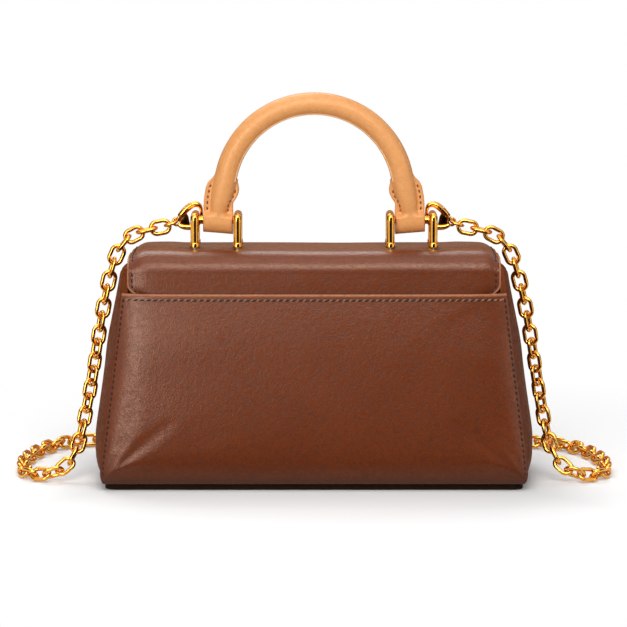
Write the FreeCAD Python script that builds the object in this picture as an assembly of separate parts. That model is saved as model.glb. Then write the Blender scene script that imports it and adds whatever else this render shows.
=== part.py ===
import FreeCAD, Part
import math
import os

os.makedirs("parts", exist_ok=True)
V = FreeCAD.Vector

# Chain shoulder bag, millimetres, +Z up, origin on the floor at the middle of the base.
# The photographed back with its slip pocket faces -Y, and the flap falls over the front at +Y.

# Driving dimensions of the body
base_width = 248.0
top_width = 214.0
base_depth = 90.0
top_depth = 58.0
body_height = 135.2
leather = 2.2
board = 1.2
lining_wall = 0.8
lining_top_drop = 15.5
seam_gap = 0.2
base_thickness = 4.4
base_inset = 4.0
base_corner_radius = 6.0
base_board_thickness = 2.0
pocket_mouth_drop = 23.4
fall_end_drop = 31.4
fall_step = 0.6
front_lip_drop = 33.5
gusset_top_drop = 12.0

# Heights of the edges under the top
pocket_mouth_z = body_height - pocket_mouth_drop
fall_end_z = body_height - fall_end_drop
front_lip_z = body_height - front_lip_drop
gusset_top_z = body_height - gusset_top_drop
lining_top_z = body_height - lining_top_drop

# How far the soft walls swell: height and bulge of each section
pocket_swell = [(0.0, 1.5), (32.0, 7.2), (72.0, 7.4), (pocket_mouth_z, 5.8)]
gusset_swell = [(0.0, 4.0), (30.0, 7.0), (74.0, 6.4), (gusset_top_z, 3.8)]

# Top bridge and flap
flap_width = 212.4
flap_thickness = 2.2
top_edge_radius = 12.0
flap_end_z = 42.0
flap_corner_radius = 24.0
flap_clearance = 0.8
hinge_gap = 0.8
top_board_width = 190.0
top_board_depth = 30.0
top_board_thickness = 1.8

# Hidden magnetic closure
magnet_radius = 7.0
magnet_thickness = 1.3
magnet_z = 58.0
magnet_clearance = 0.05

# Brackets that carry the handle and the chain
inner_post_x = 44.1
outer_post_x = 68.8
post_diameter = 4.8
post_spread = 17.0
post_corner_radius = 4.0
bracket_height = 20.5
bar_diameter = 4.4
bar_height = 15.3
collar_diameter = 5.8
collar_height = 3.6

# Screws and plates that hold the brackets from beneath
screw_diameter = 2.0
screw_hole_clearance = 0.2
thread_clearance = 0.02
screw_depth_in_foot = 5.0
screw_end_gap = 0.5
screw_head_diameter = 3.8
screw_head_height = 1.2
backing_margin = 4.0
backing_thickness = 1.2

# Handle
handle_radius = 51.5
handle_arc_height = 31.1
handle_diameter = 13.4
core_diameter = 9.2
core_clearance = 0.1
leg_splay = 13.0
tab_length = 26.0
tab_side_clearance = 0.4
tab_wall = 2.4
bar_running_clearance = 0.08
wing_thickness = 4.4
wing_width = 19.6
wing_waist = 15.0
wing_start = 12.0
wing_shoulder = 8.0
wing_end = 16.0
tab_clip_height = 14.0

# Chain and its two spring hooks
link_length = 13.42
link_width = 9.6
link_wire = 2.3
link_pitch = 8.05
link_sides = 6
link_arc_steps = 3
hook_plane_y = 4.2
hook_band = 3.2
hook_nose = (70.9, body_height + 19.1)
hook_nose_radius = 7.0
hook_wall = 1.8
hook_tail = (79.8, body_height + 13.9)
hook_tail_radius = 2.8
hook_eye_diameter = 3.2
hook_eye_band = 2.4
hook_throat = 5.2
hook_throat_radius = 2.5
gate_pivot_along = 6.8
gate_pivot_across = 3.0
gate_reach = 9.0
gate_split = 0.4
gate_clearance = 0.12
gate_knuckle_radius = 1.4
gate_knuckle_width = 1.5
gate_pin_diameter = 1.1
gate_pin_clearance = 0.04
end_link_length = 9.0
end_link_width = 8.0
end_link_wire = 1.7
end_link_seat = 0.2

# Route of the chain: from the left hook down to the floor, behind the bag and up to the right hook,
# drawn at one height of the body and stretched upwards with it
route_body_height = 135.2
route_floor_z = 4.0
chain_route = [
    (-85.3, 4.2, 146.6), (-92.5, 4.2, 145.2), (-99.3, 4.1, 143.9), (-105.5, 3.9, 141.7),
    (-110.7, 3.7, 137.4), (-114.4, 3.5, 131.4), (-117.2, 3.0, 123.8), (-119.8, 2.4, 113.6),
    (-123.0, 1.4, 97.6), (-126.2, 0.0, 78.1), (-129.4, -3.0, 57.5), (-132.6, -7.0, 40.0),
    (-135.4, -11.2, 26.6), (-138.6, -15.0, 15.3), (-143.6, -18.2, 8.7), (-150.2, -19.8, 5.2),
    (-158.5, -18.8, 4.0), (-165.1, -14.4, 4.0), (-169.5, -7.0, 4.0), (-171.7, 4.0, 4.0),
    (-172.1, 19.0, 4.0), (-170.1, 37.0, 4.0), (-165.5, 55.0, 4.0), (-158.7, 70.0, 4.0),
    (-149.6, 80.8, 4.0), (-134.2, 85.3, 4.0), (-112.2, 84.3, 4.0), (-79.6, 80.3, 4.0),
    (-40.8, 79.8, 4.0), (0.0, 82.8, 4.0), (40.8, 84.3, 4.0), (79.6, 82.3, 4.0),
    (112.2, 79.8, 4.0), (133.7, 79.3, 4.0), (147.7, 74.2, 4.0), (157.5, 65.0, 4.0),
    (164.7, 51.0, 4.0), (169.5, 35.0, 4.0), (171.7, 18.0, 4.0), (171.9, 3.0, 4.0),
    (169.9, -8.0, 4.0), (165.7, -15.6, 4.0), (159.3, -20.2, 4.0), (151.0, -21.0, 5.2),
    (144.2, -18.8, 8.7), (139.0, -15.0, 15.3), (135.6, -11.0, 26.6), (132.8, -6.8, 40.0),
    (130.4, -2.8, 55.5), (127.9, -0.4, 71.9), (125.0, 1.0, 89.4), (121.6, 2.2, 106.9),
    (119.2, 2.8, 116.2), (117.2, 3.2, 124.0), (114.4, 3.5, 131.4), (110.7, 3.8, 137.4),
    (105.5, 4.0, 141.7), (99.3, 4.1, 143.9), (92.5, 4.2, 145.2), (85.3, 4.2, 146.6)]
roll_start_z = 70.0
lying_z = 6.0

# Worked out from the driving dimensions
depth_lean = (base_depth - top_depth) / 2.0 / body_height
width_lean = (base_width - top_width) / 2.0 / body_height
panel_foot_z = base_thickness + seam_gap
back_wall_out = leather + seam_gap
back_wall_in = back_wall_out + leather
front_wall_out = flap_thickness + flap_clearance
front_wall_in = front_wall_out + leather
top_under_z = body_height - flap_thickness
hinge_z = body_height - flap_thickness / 2.0
hinge_y = top_depth / 2.0 - top_edge_radius
bar_z = body_height + bar_height
handle_arc_z = body_height + handle_arc_height


def wall_y(z):
    """Half depth of the bag at height z."""
    return base_depth / 2.0 - depth_lean * z


def side_x(z):
    """Half width of the front and back panels at height z."""
    return base_width / 2.0 - width_lean * z


def save(shape, node):
    """Write one node, after a check that it is sound."""
    if not shape.isValid():
        raise ValueError(node + " is not valid")
    shape.exportStep("parts/" + node + ".step")
    print(node, len(shape.Solids), "solids", round(shape.Volume, 1), "mm3")


def mirrored(shape):
    """The same piece on the other side of the bag."""
    return shape.mirror(V(0, 0, 0), V(1, 0, 0))


def rectangle(x0, x1, y0, y1, z):
    """Closed wire of a rectangle at height z."""
    return Part.makePolygon([V(x0, y0, z), V(x1, y0, z), V(x1, y1, z), V(x0, y1, z), V(x0, y0, z)])


def leaning_plate(z0, z1, front, outer, inner, side_inset):
    """Flat wall that leans with the front or the back of the bag."""
    wires = []
    for z in (z0, z1):
        half = side_x(z) - side_inset
        near = wall_y(z) - outer
        far = wall_y(z) - inner
        low, high = (far, near) if front else (-near, -far)
        wires.append(rectangle(-half, half, low, high, z))
    return Part.makeLoft(wires, True, True)


def tapered_block(z0, z1, side_inset, back_inset, front_inset):
    """Solid that fills the bag between two heights, inside the given wall thicknesses."""
    wires = []
    for z in (z0, z1):
        half = side_x(z) - side_inset
        wires.append(rectangle(-half, half, back_inset - wall_y(z), wall_y(z) - front_inset, z))
    return Part.makeLoft(wires, True, True)


def arched_section(start, end, out, bulge, thickness, z):
    """Thin arched strip at height z, swelling along the unit vector out."""
    a, b = V(*start, z), V(*end, z)
    push = V(*out, 0)
    middle = (a + b) * 0.5 + push * bulge
    inward = push * -thickness
    outer = Part.Arc(a, middle, b).toShape()
    inner = Part.Arc(b + inward, middle + inward, a + inward).toShape()
    return Part.Wire([outer, Part.makeLine(b, b + inward), inner, Part.makeLine(a + inward, a)])


# Body panels
def make_pocket_panel():
    """Soft slip-pocket panel, sewn at its sides and base and open at the top."""
    wires = []
    for z, bulge in pocket_swell:
        level = max(z, panel_foot_z)
        half, y = side_x(level), -wall_y(level)
        wires.append(arched_section((-half, y), (half, y), (0, -1), bulge, leather, level))
    return Part.makeLoft(wires, True)


def make_gusset():
    """Right gusset, swelling outwards between the front and the back."""
    wires = []
    for z, bulge in gusset_swell:
        level = max(z, panel_foot_z)
        x = side_x(level) - seam_gap
        back = back_wall_in + seam_gap - wall_y(level)
        front = wall_y(level) - front_wall_in - seam_gap
        wires.append(arched_section((x, back), (x, front), (1, 0), bulge, leather, level))
    return Part.makeLoft(wires, True)


def make_base():
    """Base leather with rounded corners, set in a little from the walls."""
    half = side_x(0) - base_inset
    back, front = base_inset - wall_y(0), wall_y(0) - front_wall_out - base_inset
    plate = Part.makeBox(2 * half, front - back, base_thickness, V(-half, back, 0))
    upright = [e for e in plate.Edges if abs(e.Vertexes[0].Z - e.Vertexes[-1].Z) > base_thickness / 2]
    return plate.makeFillet(base_corner_radius, upright)


def make_lining():
    """Fabric lining, open at the top, with a low front lip under the flap."""
    side = leather + 2 * seam_gap
    back = back_wall_in + board + 2 * seam_gap
    front = front_wall_in + board + 2 * seam_gap
    foot = panel_foot_z + base_board_thickness + seam_gap
    top = lining_top_z
    shell = tapered_block(foot, top, side, back, front)
    hollow = tapered_block(foot + lining_wall, body_height, side + lining_wall, back + lining_wall,
                           front + lining_wall)
    inner_half = side_x(top) - side - lining_wall
    mouth = Part.makeBox(2 * inner_half, base_depth, body_height, V(-inner_half, 0, front_lip_z))
    return shell.cut(hollow).cut(mouth)


def make_top_panel():
    """Top bridge of the flap leather with its fall down the back, where the pocket holds its end."""
    r = top_edge_radius
    lean = depth_lean
    y_top = back_wall_out - wall_y(body_height)
    y_end = back_wall_out - wall_y(fall_end_z)
    tangent = r * math.tan((math.pi / 2 - math.atan(lean)) / 2)
    start = V(0, hinge_y - flap_thickness / 2 - hinge_gap, body_height)
    flat_end = V(0, y_top + tangent, body_height)
    down = V(0, -lean, -1).normalize()
    corner = V(0, y_top, body_height)
    arc_end = corner + down * tangent
    centre = V(0, flat_end.y, body_height - r)
    middle = centre + ((corner - centre).normalize() * r)
    outer = [Part.makeLine(start, flat_end), Part.Arc(flat_end, middle, arc_end).toShape(),
             Part.makeLine(arc_end, V(0, y_end, fall_end_z))]
    t = flap_thickness
    inner_r = r - t
    side_step = V(0, 1, -lean).normalize() * t
    low_end = V(0, y_end, fall_end_z) + side_step
    inner_arc_end = arc_end + side_step
    inner_flat_end = flat_end + V(0, 0, -t)
    inner_middle = centre + ((corner - centre).normalize() * inner_r)
    inner_start = start + V(0, 0, -t)
    inner = [Part.makeLine(V(0, y_end, fall_end_z), low_end), Part.makeLine(low_end, inner_arc_end),
             Part.Arc(inner_arc_end, inner_middle, inner_flat_end).toShape(),
             Part.makeLine(inner_flat_end, inner_start), Part.makeLine(inner_start, start)]
    face = Part.Face(Part.Wire(outer + inner))
    face.translate(V(-flap_width / 2, 0, 0))
    return face.extrude(V(flap_width, 0, 0))


def make_flap():
    """Front flap: a bead on the hinge line, the rounded edge and the fall over the front."""
    r = top_edge_radius
    t = flap_thickness
    lean = depth_lean
    y_top = wall_y(body_height)
    tangent = r * math.tan((math.pi / 2 - math.atan(lean)) / 2)
    start = V(0, hinge_y, body_height)
    flat_end = V(0, y_top - tangent, body_height)
    corner = V(0, y_top, body_height)
    down = V(0, lean, -1).normalize()
    arc_end = corner + down * tangent
    centre = V(0, flat_end.y, body_height - r)
    toward = (corner - centre).normalize()
    end = V(0, wall_y(flap_end_z), flap_end_z)
    step = V(0, -1, -lean).normalize() * t
    edges = [Part.makeLine(start, flat_end),
             Part.Arc(flat_end, centre + toward * r, arc_end).toShape(),
             Part.makeLine(arc_end, end), Part.makeLine(end, end + step),
             Part.makeLine(end + step, arc_end + step),
             Part.Arc(arc_end + step, centre + toward * (r - t), flat_end - V(0, 0, t)).toShape(),
             Part.makeLine(flat_end - V(0, 0, t), start - V(0, 0, t)),
             Part.makeLine(start - V(0, 0, t), start)]
    face = Part.Face(Part.Wire(edges))
    face.translate(V(-flap_width / 2, 0, 0))
    strip = face.extrude(V(flap_width, 0, 0))
    bead = Part.makeCylinder(t / 2, flap_width, V(-flap_width / 2, hinge_y, hinge_z), V(1, 0, 0))
    strip = strip.fuse(bead).removeSplitter()
    front_view = Part.makeBox(flap_width, base_depth, body_height, V(-flap_width / 2, 0, flap_end_z))
    lower = [e for e in front_view.Edges
             if e.BoundBox.ZMax < flap_end_z + 0.1 and e.BoundBox.YLength > base_depth / 2]
    return strip.common(front_view.makeFillet(flap_corner_radius, lower))


def wall_disc(outer, inner, radius):
    """Disc at the magnet's place, between two depths under the flap's outer face."""
    out = V(0, 1, depth_lean).normalize()
    face = V(0, wall_y(magnet_z), magnet_z)
    return Part.makeCylinder(radius, inner - outer, face - out * outer, out * -1)


# Metal hardware
def staple(x):
    """One inverted-U post of a bracket, with its two collars."""
    r = post_diameter / 2
    half = post_spread / 2
    crown = body_height + bracket_height - r
    turn = post_corner_radius
    bend = math.sqrt(0.5) * turn
    points = [V(x, -half, body_height), V(x, -half, crown - turn), V(x, turn - half, crown),
              V(x, half - turn, crown), V(x, half, crown - turn), V(x, half, body_height)]
    left = V(x, turn - half - bend, crown - turn + bend)
    right = V(x, half - turn + bend, crown - turn + bend)
    path = Part.Wire([Part.makeLine(points[0], points[1]), Part.Arc(points[1], left, points[2]).toShape(),
                      Part.makeLine(points[2], points[3]), Part.Arc(points[3], right, points[4]).toShape(),
                      Part.makeLine(points[4], points[5])])
    section = Part.Wire([Part.makeCircle(r, points[0], V(0, 0, 1))])
    post = path.makePipeShell([section], True, True)
    for y in (-half, half):
        collar = Part.makeCone(collar_diameter / 2, r, collar_height, V(x, y, body_height))
        post = post.fuse(collar)
    return post


def screw_places():
    """Middle of each foot of the right bracket."""
    return [(x, y) for x in (inner_post_x, outer_post_x) for y in (-post_spread / 2, post_spread / 2)]


def make_bracket():
    """Right bracket: two posts and the bar that carries the handle, cast in one piece."""
    span = outer_post_x - inner_post_x
    bar = Part.makeCylinder(bar_diameter / 2, span, V(inner_post_x, 0, bar_z), V(1, 0, 0))
    solid = staple(inner_post_x).fuse([staple(outer_post_x), bar])
    for x, y in screw_places():
        solid = solid.cut(Part.makeCylinder(screw_diameter / 2 + thread_clearance, screw_depth_in_foot,
                                            V(x, y, body_height)))
    return solid.removeSplitter()


def make_screw(x, y):
    """Screw that comes up through the plate, the board and the leather into a foot."""
    seat = top_under_z - top_board_thickness - backing_thickness
    length = body_height + screw_depth_in_foot - screw_end_gap - seat
    shank = Part.makeCylinder(screw_diameter / 2, length, V(x, y, seat))
    head = Part.makeCylinder(screw_head_diameter / 2, screw_head_height, V(x, y, seat - screw_head_height))
    return shank.fuse(head).removeSplitter()


def drill_feet(solid):
    """Clearance holes for the bracket screws on both sides."""
    radius = screw_diameter / 2 + screw_hole_clearance
    for x, y in screw_places():
        for side in (-1, 1):
            hole = Part.makeCylinder(radius, 2 * bracket_height, V(side * x, y, body_height - bracket_height))
            solid = solid.cut(hole)
    return solid


def make_backing_plate():
    """Steel plate under the top board that spreads the pull of the right bracket."""
    width = outer_post_x - inner_post_x + 2 * backing_margin
    depth = post_spread + 2 * backing_margin
    low = V(inner_post_x - backing_margin, -depth / 2, top_under_z - top_board_thickness - backing_thickness)
    return drill_feet(Part.makeBox(width, depth, backing_thickness, low))


# Handle
def leg_frame():
    """Where the arc of the right leg ends, the way the leg runs down, and its length to the bar."""
    a = math.radians(leg_splay)
    top = V(handle_radius * math.cos(a), 0, handle_arc_z + handle_radius * math.sin(a))
    run = V(math.sin(a), 0, -math.cos(a))
    return top, run, (top.z - bar_z) / math.cos(a)


def handle_path(stop):
    """Centre line of the handle, ending the given length short of the bar on both legs."""
    top, run, length = leg_frame()
    end = top + run * (length - stop)
    arc = Part.Arc(top, V(0, 0, handle_arc_z + handle_radius), V(-top.x, 0, top.z)).toShape()
    far = Part.makeLine(V(-top.x, 0, top.z), V(-end.x, 0, end.z))
    return Part.Wire([Part.makeLine(end, top), arc, far]), end, run


def round_sweep(stop, radius):
    """Round rod along the handle's centre line."""
    path, end, run = handle_path(stop)
    section = Part.Wire([Part.makeCircle(radius, end, run)])
    return path.makePipeShell([section], True, True)


def make_handle_tab():
    """Right end of the handle: stitched wings that narrow to a loop round the bar."""
    top, run, length = leg_frame()
    foot = top + run * length
    loop_low = inner_post_x + post_diameter / 2 + tab_side_clearance
    loop_high = hook_nose[0] - hook_nose_radius - tab_side_clearance
    loop_radius = bar_diameter / 2 + bar_running_clearance + tab_wall
    loop = Part.makeCylinder(loop_radius, loop_high - loop_low, V(loop_low, 0, bar_z), V(1, 0, 0))
    start = foot - run * tab_length
    stem = Part.makeCone(handle_diameter / 2, loop_radius, tab_length, start, run)
    across = V(run.z, 0, -run.x) * -1
    spots = [(0.0, wing_start), (wing_shoulder, wing_width), (wing_end, wing_width), (tab_length, wing_waist)]
    right = [start + run * d + across * (w / 2) for d, w in spots]
    left = [start + run * d - across * (w / 2) for d, w in spots]
    outline = Part.makePolygon(right + left[::-1] + right[:1])
    wing = Part.Face(outline).extrude(V(0, wing_thickness, 0))
    wing.translate(V(0, -wing_thickness / 2, 0))
    low_z = bar_z - loop_radius
    keep = Part.makeBox(loop_high - loop_low, base_depth, body_height, V(loop_low, -base_depth / 2, low_z))
    above = Part.makeBox(base_width, base_depth, body_height, V(0, -base_depth / 2, bar_z + tab_clip_height))
    solid = loop.fuse([stem, wing]).common(keep.fuse(above))
    bore = Part.makeCylinder(bar_diameter / 2 + bar_running_clearance, base_width, V(0, 0, bar_z), V(1, 0, 0))
    return solid.cut(bore).removeSplitter()


# Spring hooks
def hook_axes():
    """Unit vectors of the right hook in its own plane: towards the tail, and up across it."""
    along = V(hook_tail[0] - hook_nose[0], 0, hook_tail[1] - hook_nose[1]).normalize()
    return along, V(-along.z, 0, along.x)


def teardrop(big, big_r, small, small_r, depth):
    """Slab round two circles and their common tangents, centred on the hook's plane."""
    gap = small - big
    along = gap.normalize() if gap.Length else V(1, 0, 0)
    distance = small.distanceToPoint(big)
    tilt = math.acos((big_r - small_r) / distance)
    up = V(-along.z, 0, along.x)
    reach = along * math.cos(tilt)
    rise = up * math.sin(tilt)
    p1, p2 = big + (reach + rise) * big_r, small + (reach + rise) * small_r
    p3, p4 = small + (reach - rise) * small_r, big + (reach - rise) * big_r
    wire = Part.Wire([Part.makeLine(p1, p2), Part.Arc(p2, small + along * small_r, p3).toShape(),
                      Part.makeLine(p3, p4), Part.Arc(p4, big - along * big_r, p1).toShape()])
    slab = Part.Face(wire).extrude(V(0, depth, 0))
    slab.translate(V(0, -depth / 2, 0))
    return slab


def across_rod(centre, radius, width):
    """Rod across the hook's band."""
    return Part.makeCylinder(radius, width, centre - V(0, width / 2, 0), V(0, 1, 0))


def make_hook():
    """Right hook, its sprung gate and the pin of the gate."""
    along, up = hook_axes()
    nose = V(hook_nose[0], hook_plane_y, hook_nose[1])
    tail = V(hook_tail[0], hook_plane_y, hook_tail[1])
    ring = teardrop(nose, hook_nose_radius, tail, hook_tail_radius, hook_band)
    ring = ring.cut(teardrop(nose, hook_nose_radius - hook_wall, nose + along * hook_throat,
                             hook_throat_radius, 2 * hook_band))
    ring = ring.cut(across_rod(tail, hook_eye_diameter / 2, 2 * hook_band))
    cheek = across_rod(tail, hook_tail_radius + gate_clearance, 2 * hook_band)
    ring = ring.cut(cheek.cut(across_rod(tail, 2 * hook_tail_radius, hook_eye_band)))
    pivot = nose + along * gate_pivot_along + up * gate_pivot_across
    reach = 2 * hook_nose_radius
    upper = Part.makeBox(4 * reach, 2 * hook_band, 2 * reach, V(-2 * reach, -hook_band, 0))
    turn = FreeCAD.Rotation(along, V(0, 1, 0), up, "XYZ")
    upper.Placement = FreeCAD.Placement(nose + up * gate_split, turn)
    sweep = across_rod(pivot, gate_reach, 2 * hook_band)
    behind = Part.makeBox(reach, 2 * hook_band, 2 * reach, V(0, -hook_band, -reach))
    behind.Placement = FreeCAD.Placement(pivot, turn).multiply(behind.Placement)
    window = upper.common(sweep).cut(behind)
    knuckle = across_rod(pivot, gate_knuckle_radius, gate_knuckle_width)
    socket = across_rod(pivot, gate_knuckle_radius + gate_clearance, gate_knuckle_width + 2 * gate_clearance)
    cheeks = across_rod(pivot, gate_knuckle_radius, hook_band)
    arm = ring.common(window).common(across_rod(pivot, gate_reach - gate_clearance, 2 * hook_band))
    arm = arm.cut(across_rod(pivot, gate_knuckle_radius + gate_clearance, 2 * hook_band))
    arm = arm.cut(behind.translated(along * -gate_clearance))
    web = ring.common(window).common(across_rod(pivot, 2 * gate_knuckle_radius, gate_knuckle_width))
    web = web.cut(behind.translated(along * -gate_clearance))
    pin_hole = across_rod(pivot, gate_pin_diameter / 2 + gate_pin_clearance, 2 * hook_band)
    gate = arm.fuse([web, knuckle]).cut(pin_hole).removeSplitter()
    body = ring.cut(window).fuse(cheeks).cut(socket).cut(pin_hole).removeSplitter()
    pin = across_rod(pivot, gate_pin_diameter / 2, hook_band)
    return body, gate, pin


# Chain
def make_link(length, width, wire, arc_steps):
    """One oval link of faceted wire, lying in the local XY plane with its length along X."""
    bend = (width - wire) / 2
    straight = (length - wire) / 2 - bend
    stretch = math.cos(math.pi / 2 / arc_steps) if arc_steps % 2 else 1.0
    centres = []
    for end in (1, -1):
        for step in range(arc_steps + 1):
            a = math.pi * (step / arc_steps - 0.5)
            centres.append(V(end * (straight + bend * math.cos(a) / stretch), end * bend * math.sin(a), 0))
    count = len(centres)
    sides = [(centres[(i + 1) % count] - centres[i]).normalize() for i in range(count)]
    normals = [V(side.y, -side.x, 0) for side in sides]
    rings = []
    for i, centre in enumerate(centres):
        mitre = (normals[i - 1] + normals[i]) * (1 / (1 + normals[i - 1].dot(normals[i])))
        turns = [2 * math.pi * (k + 0.5) / link_sides for k in range(link_sides)]
        rings.append([centre + mitre * (wire / 2 * math.cos(b)) + V(0, 0, wire / 2 * math.sin(b))
                      for b in turns])
    faces = []
    for i, ring in enumerate(rings):
        following = rings[(i + 1) % count]
        for k in range(link_sides):
            n = (k + 1) % link_sides
            faces.append(Part.Face(Part.makePolygon([ring[k], following[k], following[n], ring[n], ring[k]])))
    return Part.Solid(Part.Shell(faces))


def chain_curve():
    """Smooth curve of second degree with the route's points as its poles."""
    stretch = (body_height - route_floor_z) / (route_body_height - route_floor_z)
    poles = [V(x, y, route_floor_z + (z - route_floor_z) * stretch) for x, y, z in chain_route]
    spans = len(poles) - 2
    curve = Part.BSplineCurve()
    curve.buildFromPolesMultsKnots(poles, [3] + [1] * (spans - 1) + [3], list(range(spans + 1)), False, 2)
    return curve


def link_placement(point, run, roll_step):
    """Stand a link on the route: face-on where it hangs, leaning both ways where it lies."""
    lying = min(max((roll_start_z - point.z) / (roll_start_z - lying_z), 0.0), 1.0)
    face = V(0, 0, 1).cross(run).normalize()
    turn = FreeCAD.Rotation(run, face.cross(run), face, "XYZ")
    roll = FreeCAD.Rotation(V(1, 0, 0), 45.0 * lying + 90.0 * roll_step)
    return FreeCAD.Placement(point, turn.multiply(roll))


def make_chain():
    """All links in order along the route, each one hung between two points of the curve."""
    curve = chain_curve()
    length = curve.length()
    count = int(length / link_pitch)
    count += (count + 1) % 2
    pitch = length / count
    pivots = [curve.value(curve.parameterAtDistance(pitch * i, curve.FirstParameter)) for i in range(count)]
    pivots.append(curve.EndPoint)
    link = make_link(link_length, link_width, link_wire, link_arc_steps)
    links = []
    for i in range(count):
        run = pivots[i + 1] - pivots[i]
        placed = link.copy()
        placed.Placement = link_placement((pivots[i] + pivots[i + 1]) * 0.5, run.normalize(), i % 2)
        links.append(placed)
    print("chain", count, "links, route", round(length, 1), "mm, pitch", round(pitch, 3), "mm")
    return links


def make_end_link(side, first_link):
    """Small link that joins a hook's eye to the first link of the chain."""
    tail = V(side * hook_tail[0], hook_plane_y, hook_tail[1])
    toward = first_link.CenterOfMass - tail
    run = toward.normalize()
    face = V(0, 1, 0).cross(run)
    link = make_link(end_link_length, end_link_width, end_link_wire, link_arc_steps)
    middle = tail + run * ((end_link_length - end_link_wire) / 2 - end_link_seat)
    link.Placement = FreeCAD.Placement(middle, FreeCAD.Rotation(run, V(0, 1, 0), face, "XYZ"))
    return link


# Build every node
pocket_panel = make_pocket_panel()
save(pocket_panel, "pocket_panel")
back_top_z = fall_end_z - fall_step
save(leaning_plate(panel_foot_z, back_top_z, False, back_wall_out, back_wall_in, 0), "back_panel")
front_panel = leaning_plate(panel_foot_z, front_lip_z, True, front_wall_out, front_wall_in, 0)
body_recess = wall_disc(flap_thickness, front_wall_out + magnet_thickness, magnet_radius + magnet_clearance)
save(front_panel.cut(body_recess), "front_panel")
body_magnet_in = front_wall_out + magnet_thickness - magnet_clearance
save(wall_disc(front_wall_out, body_magnet_in, magnet_radius), "body_magnet")
board_inset = leather + 2 * seam_gap
save(leaning_plate(panel_foot_z + base_board_thickness + seam_gap, back_top_z, False,
                   back_wall_in + seam_gap, back_wall_in + seam_gap + board, board_inset), "back_board")
save(leaning_plate(panel_foot_z + base_board_thickness + seam_gap, front_lip_z, True,
                   front_wall_in + seam_gap, front_wall_in + seam_gap + board, board_inset), "front_board")
right_gusset = make_gusset()
save(right_gusset, "right_gusset")
save(mirrored(right_gusset), "left_gusset")
save(make_base(), "base_panel")
save(tapered_block(panel_foot_z, panel_foot_z + base_board_thickness, board_inset,
                   back_wall_in + seam_gap, front_wall_in + seam_gap), "base_board")
save(make_lining(), "lining")
save(drill_feet(make_top_panel()), "top_panel")
top_board = Part.makeBox(top_board_width, top_board_depth, top_board_thickness,
                         V(-top_board_width / 2, -top_board_depth / 2, top_under_z - top_board_thickness))
save(drill_feet(top_board), "top_board")
backing_plate = make_backing_plate()
save(backing_plate, "right_backing_plate")
save(mirrored(backing_plate), "left_backing_plate")
right_bracket = make_bracket()
save(right_bracket, "right_bracket")
save(mirrored(right_bracket), "left_bracket")
screws = [make_screw(side * x, y) for side in (-1, 1) for x, y in screw_places()]
save(Part.makeCompound(screws), "bracket_screws")

recess_depth = flap_thickness - magnet_thickness
flap_recess = wall_disc(recess_depth, front_wall_out, magnet_radius + magnet_clearance)
save(make_flap().cut(flap_recess), "flap_front")
save(wall_disc(recess_depth + magnet_clearance, flap_thickness, magnet_radius), "flap_magnet")

cover = round_sweep(tab_length, handle_diameter / 2)
cover = cover.cut(round_sweep(tab_length, core_diameter / 2 + core_clearance))
save(cover, "handle_cover")
save(round_sweep(tab_length, core_diameter / 2), "handle_core")
right_tab = make_handle_tab()
save(right_tab, "right_handle_tab")
save(mirrored(right_tab), "left_handle_tab")

hook, gate, gate_pin = make_hook()
for shape, node in ((hook, "hook"), (gate, "gate"), (gate_pin, "gate_pin")):
    save(shape, "right_" + node)
    save(mirrored(shape), "left_" + node)

links = make_chain()
drop = [i for i, link in enumerate(links) if link.CenterOfMass.z > link_length]
left_count = max(i for i in drop if links[i].CenterOfMass.x < 0) + 1
right_start = min(i for i in drop if links[i].CenterOfMass.x > 0)
save(Part.makeCompound(links[:left_count]), "chain_left_drop")
save(Part.makeCompound(links[left_count:right_start]), "chain_floor_run")
save(Part.makeCompound(links[right_start:]), "chain_right_drop")
save(make_end_link(-1, links[0]), "left_end_link")
save(make_end_link(1, links[-1]), "right_end_link")
gaps = [links[i].distToShape(links[i + 1])[0] for i in range(len(links) - 1)]
print("least gap between neighbouring links", round(min(gaps), 3), "mm")
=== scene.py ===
# %% [markdown]
# # A chain shoulder bag, dressed in Blender
# The construction model gives the frame: every panel, bracket and hook is already at its
# place, in metres. This lesson adds what the eye sees: soft leather, thread, a rolled
# handle and polished metal. Each piece is modelled at its real place; all but the flap
# leather and its side seam ride on a body.

# %% Load the frame
import bpy
import math
from mathutils import Matrix, Vector, noise
from mathutils.bvhtree import BVHTree


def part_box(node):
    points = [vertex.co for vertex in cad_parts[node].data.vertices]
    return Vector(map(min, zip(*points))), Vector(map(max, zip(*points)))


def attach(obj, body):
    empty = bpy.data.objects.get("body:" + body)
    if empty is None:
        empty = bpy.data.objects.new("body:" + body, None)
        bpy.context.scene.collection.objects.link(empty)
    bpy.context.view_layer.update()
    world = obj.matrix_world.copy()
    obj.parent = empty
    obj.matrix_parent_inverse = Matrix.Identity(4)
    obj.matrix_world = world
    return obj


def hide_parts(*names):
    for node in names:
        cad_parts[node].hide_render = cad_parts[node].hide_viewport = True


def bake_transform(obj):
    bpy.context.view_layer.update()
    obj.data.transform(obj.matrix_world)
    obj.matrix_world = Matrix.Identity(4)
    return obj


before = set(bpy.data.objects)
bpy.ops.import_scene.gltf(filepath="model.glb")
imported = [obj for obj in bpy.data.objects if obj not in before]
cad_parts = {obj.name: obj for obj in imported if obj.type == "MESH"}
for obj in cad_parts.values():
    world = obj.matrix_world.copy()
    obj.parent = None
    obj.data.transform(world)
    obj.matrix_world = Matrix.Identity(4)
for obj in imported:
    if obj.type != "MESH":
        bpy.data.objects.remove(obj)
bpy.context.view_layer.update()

scene = bpy.context.scene
scene.view_settings.view_transform = "Standard"
print("frame of", len(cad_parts), "nodes")

# %% [markdown]
# ## Small helpers
# Operators act on whatever is selected, so each helper first clears the selection. A
# finished piece keeps its object at the origin with its place in its mesh, so a pattern on
# Object coordinates stays put when the part moves.

# %% Helpers for selection, placing and finishing
MM = 0.001


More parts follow.
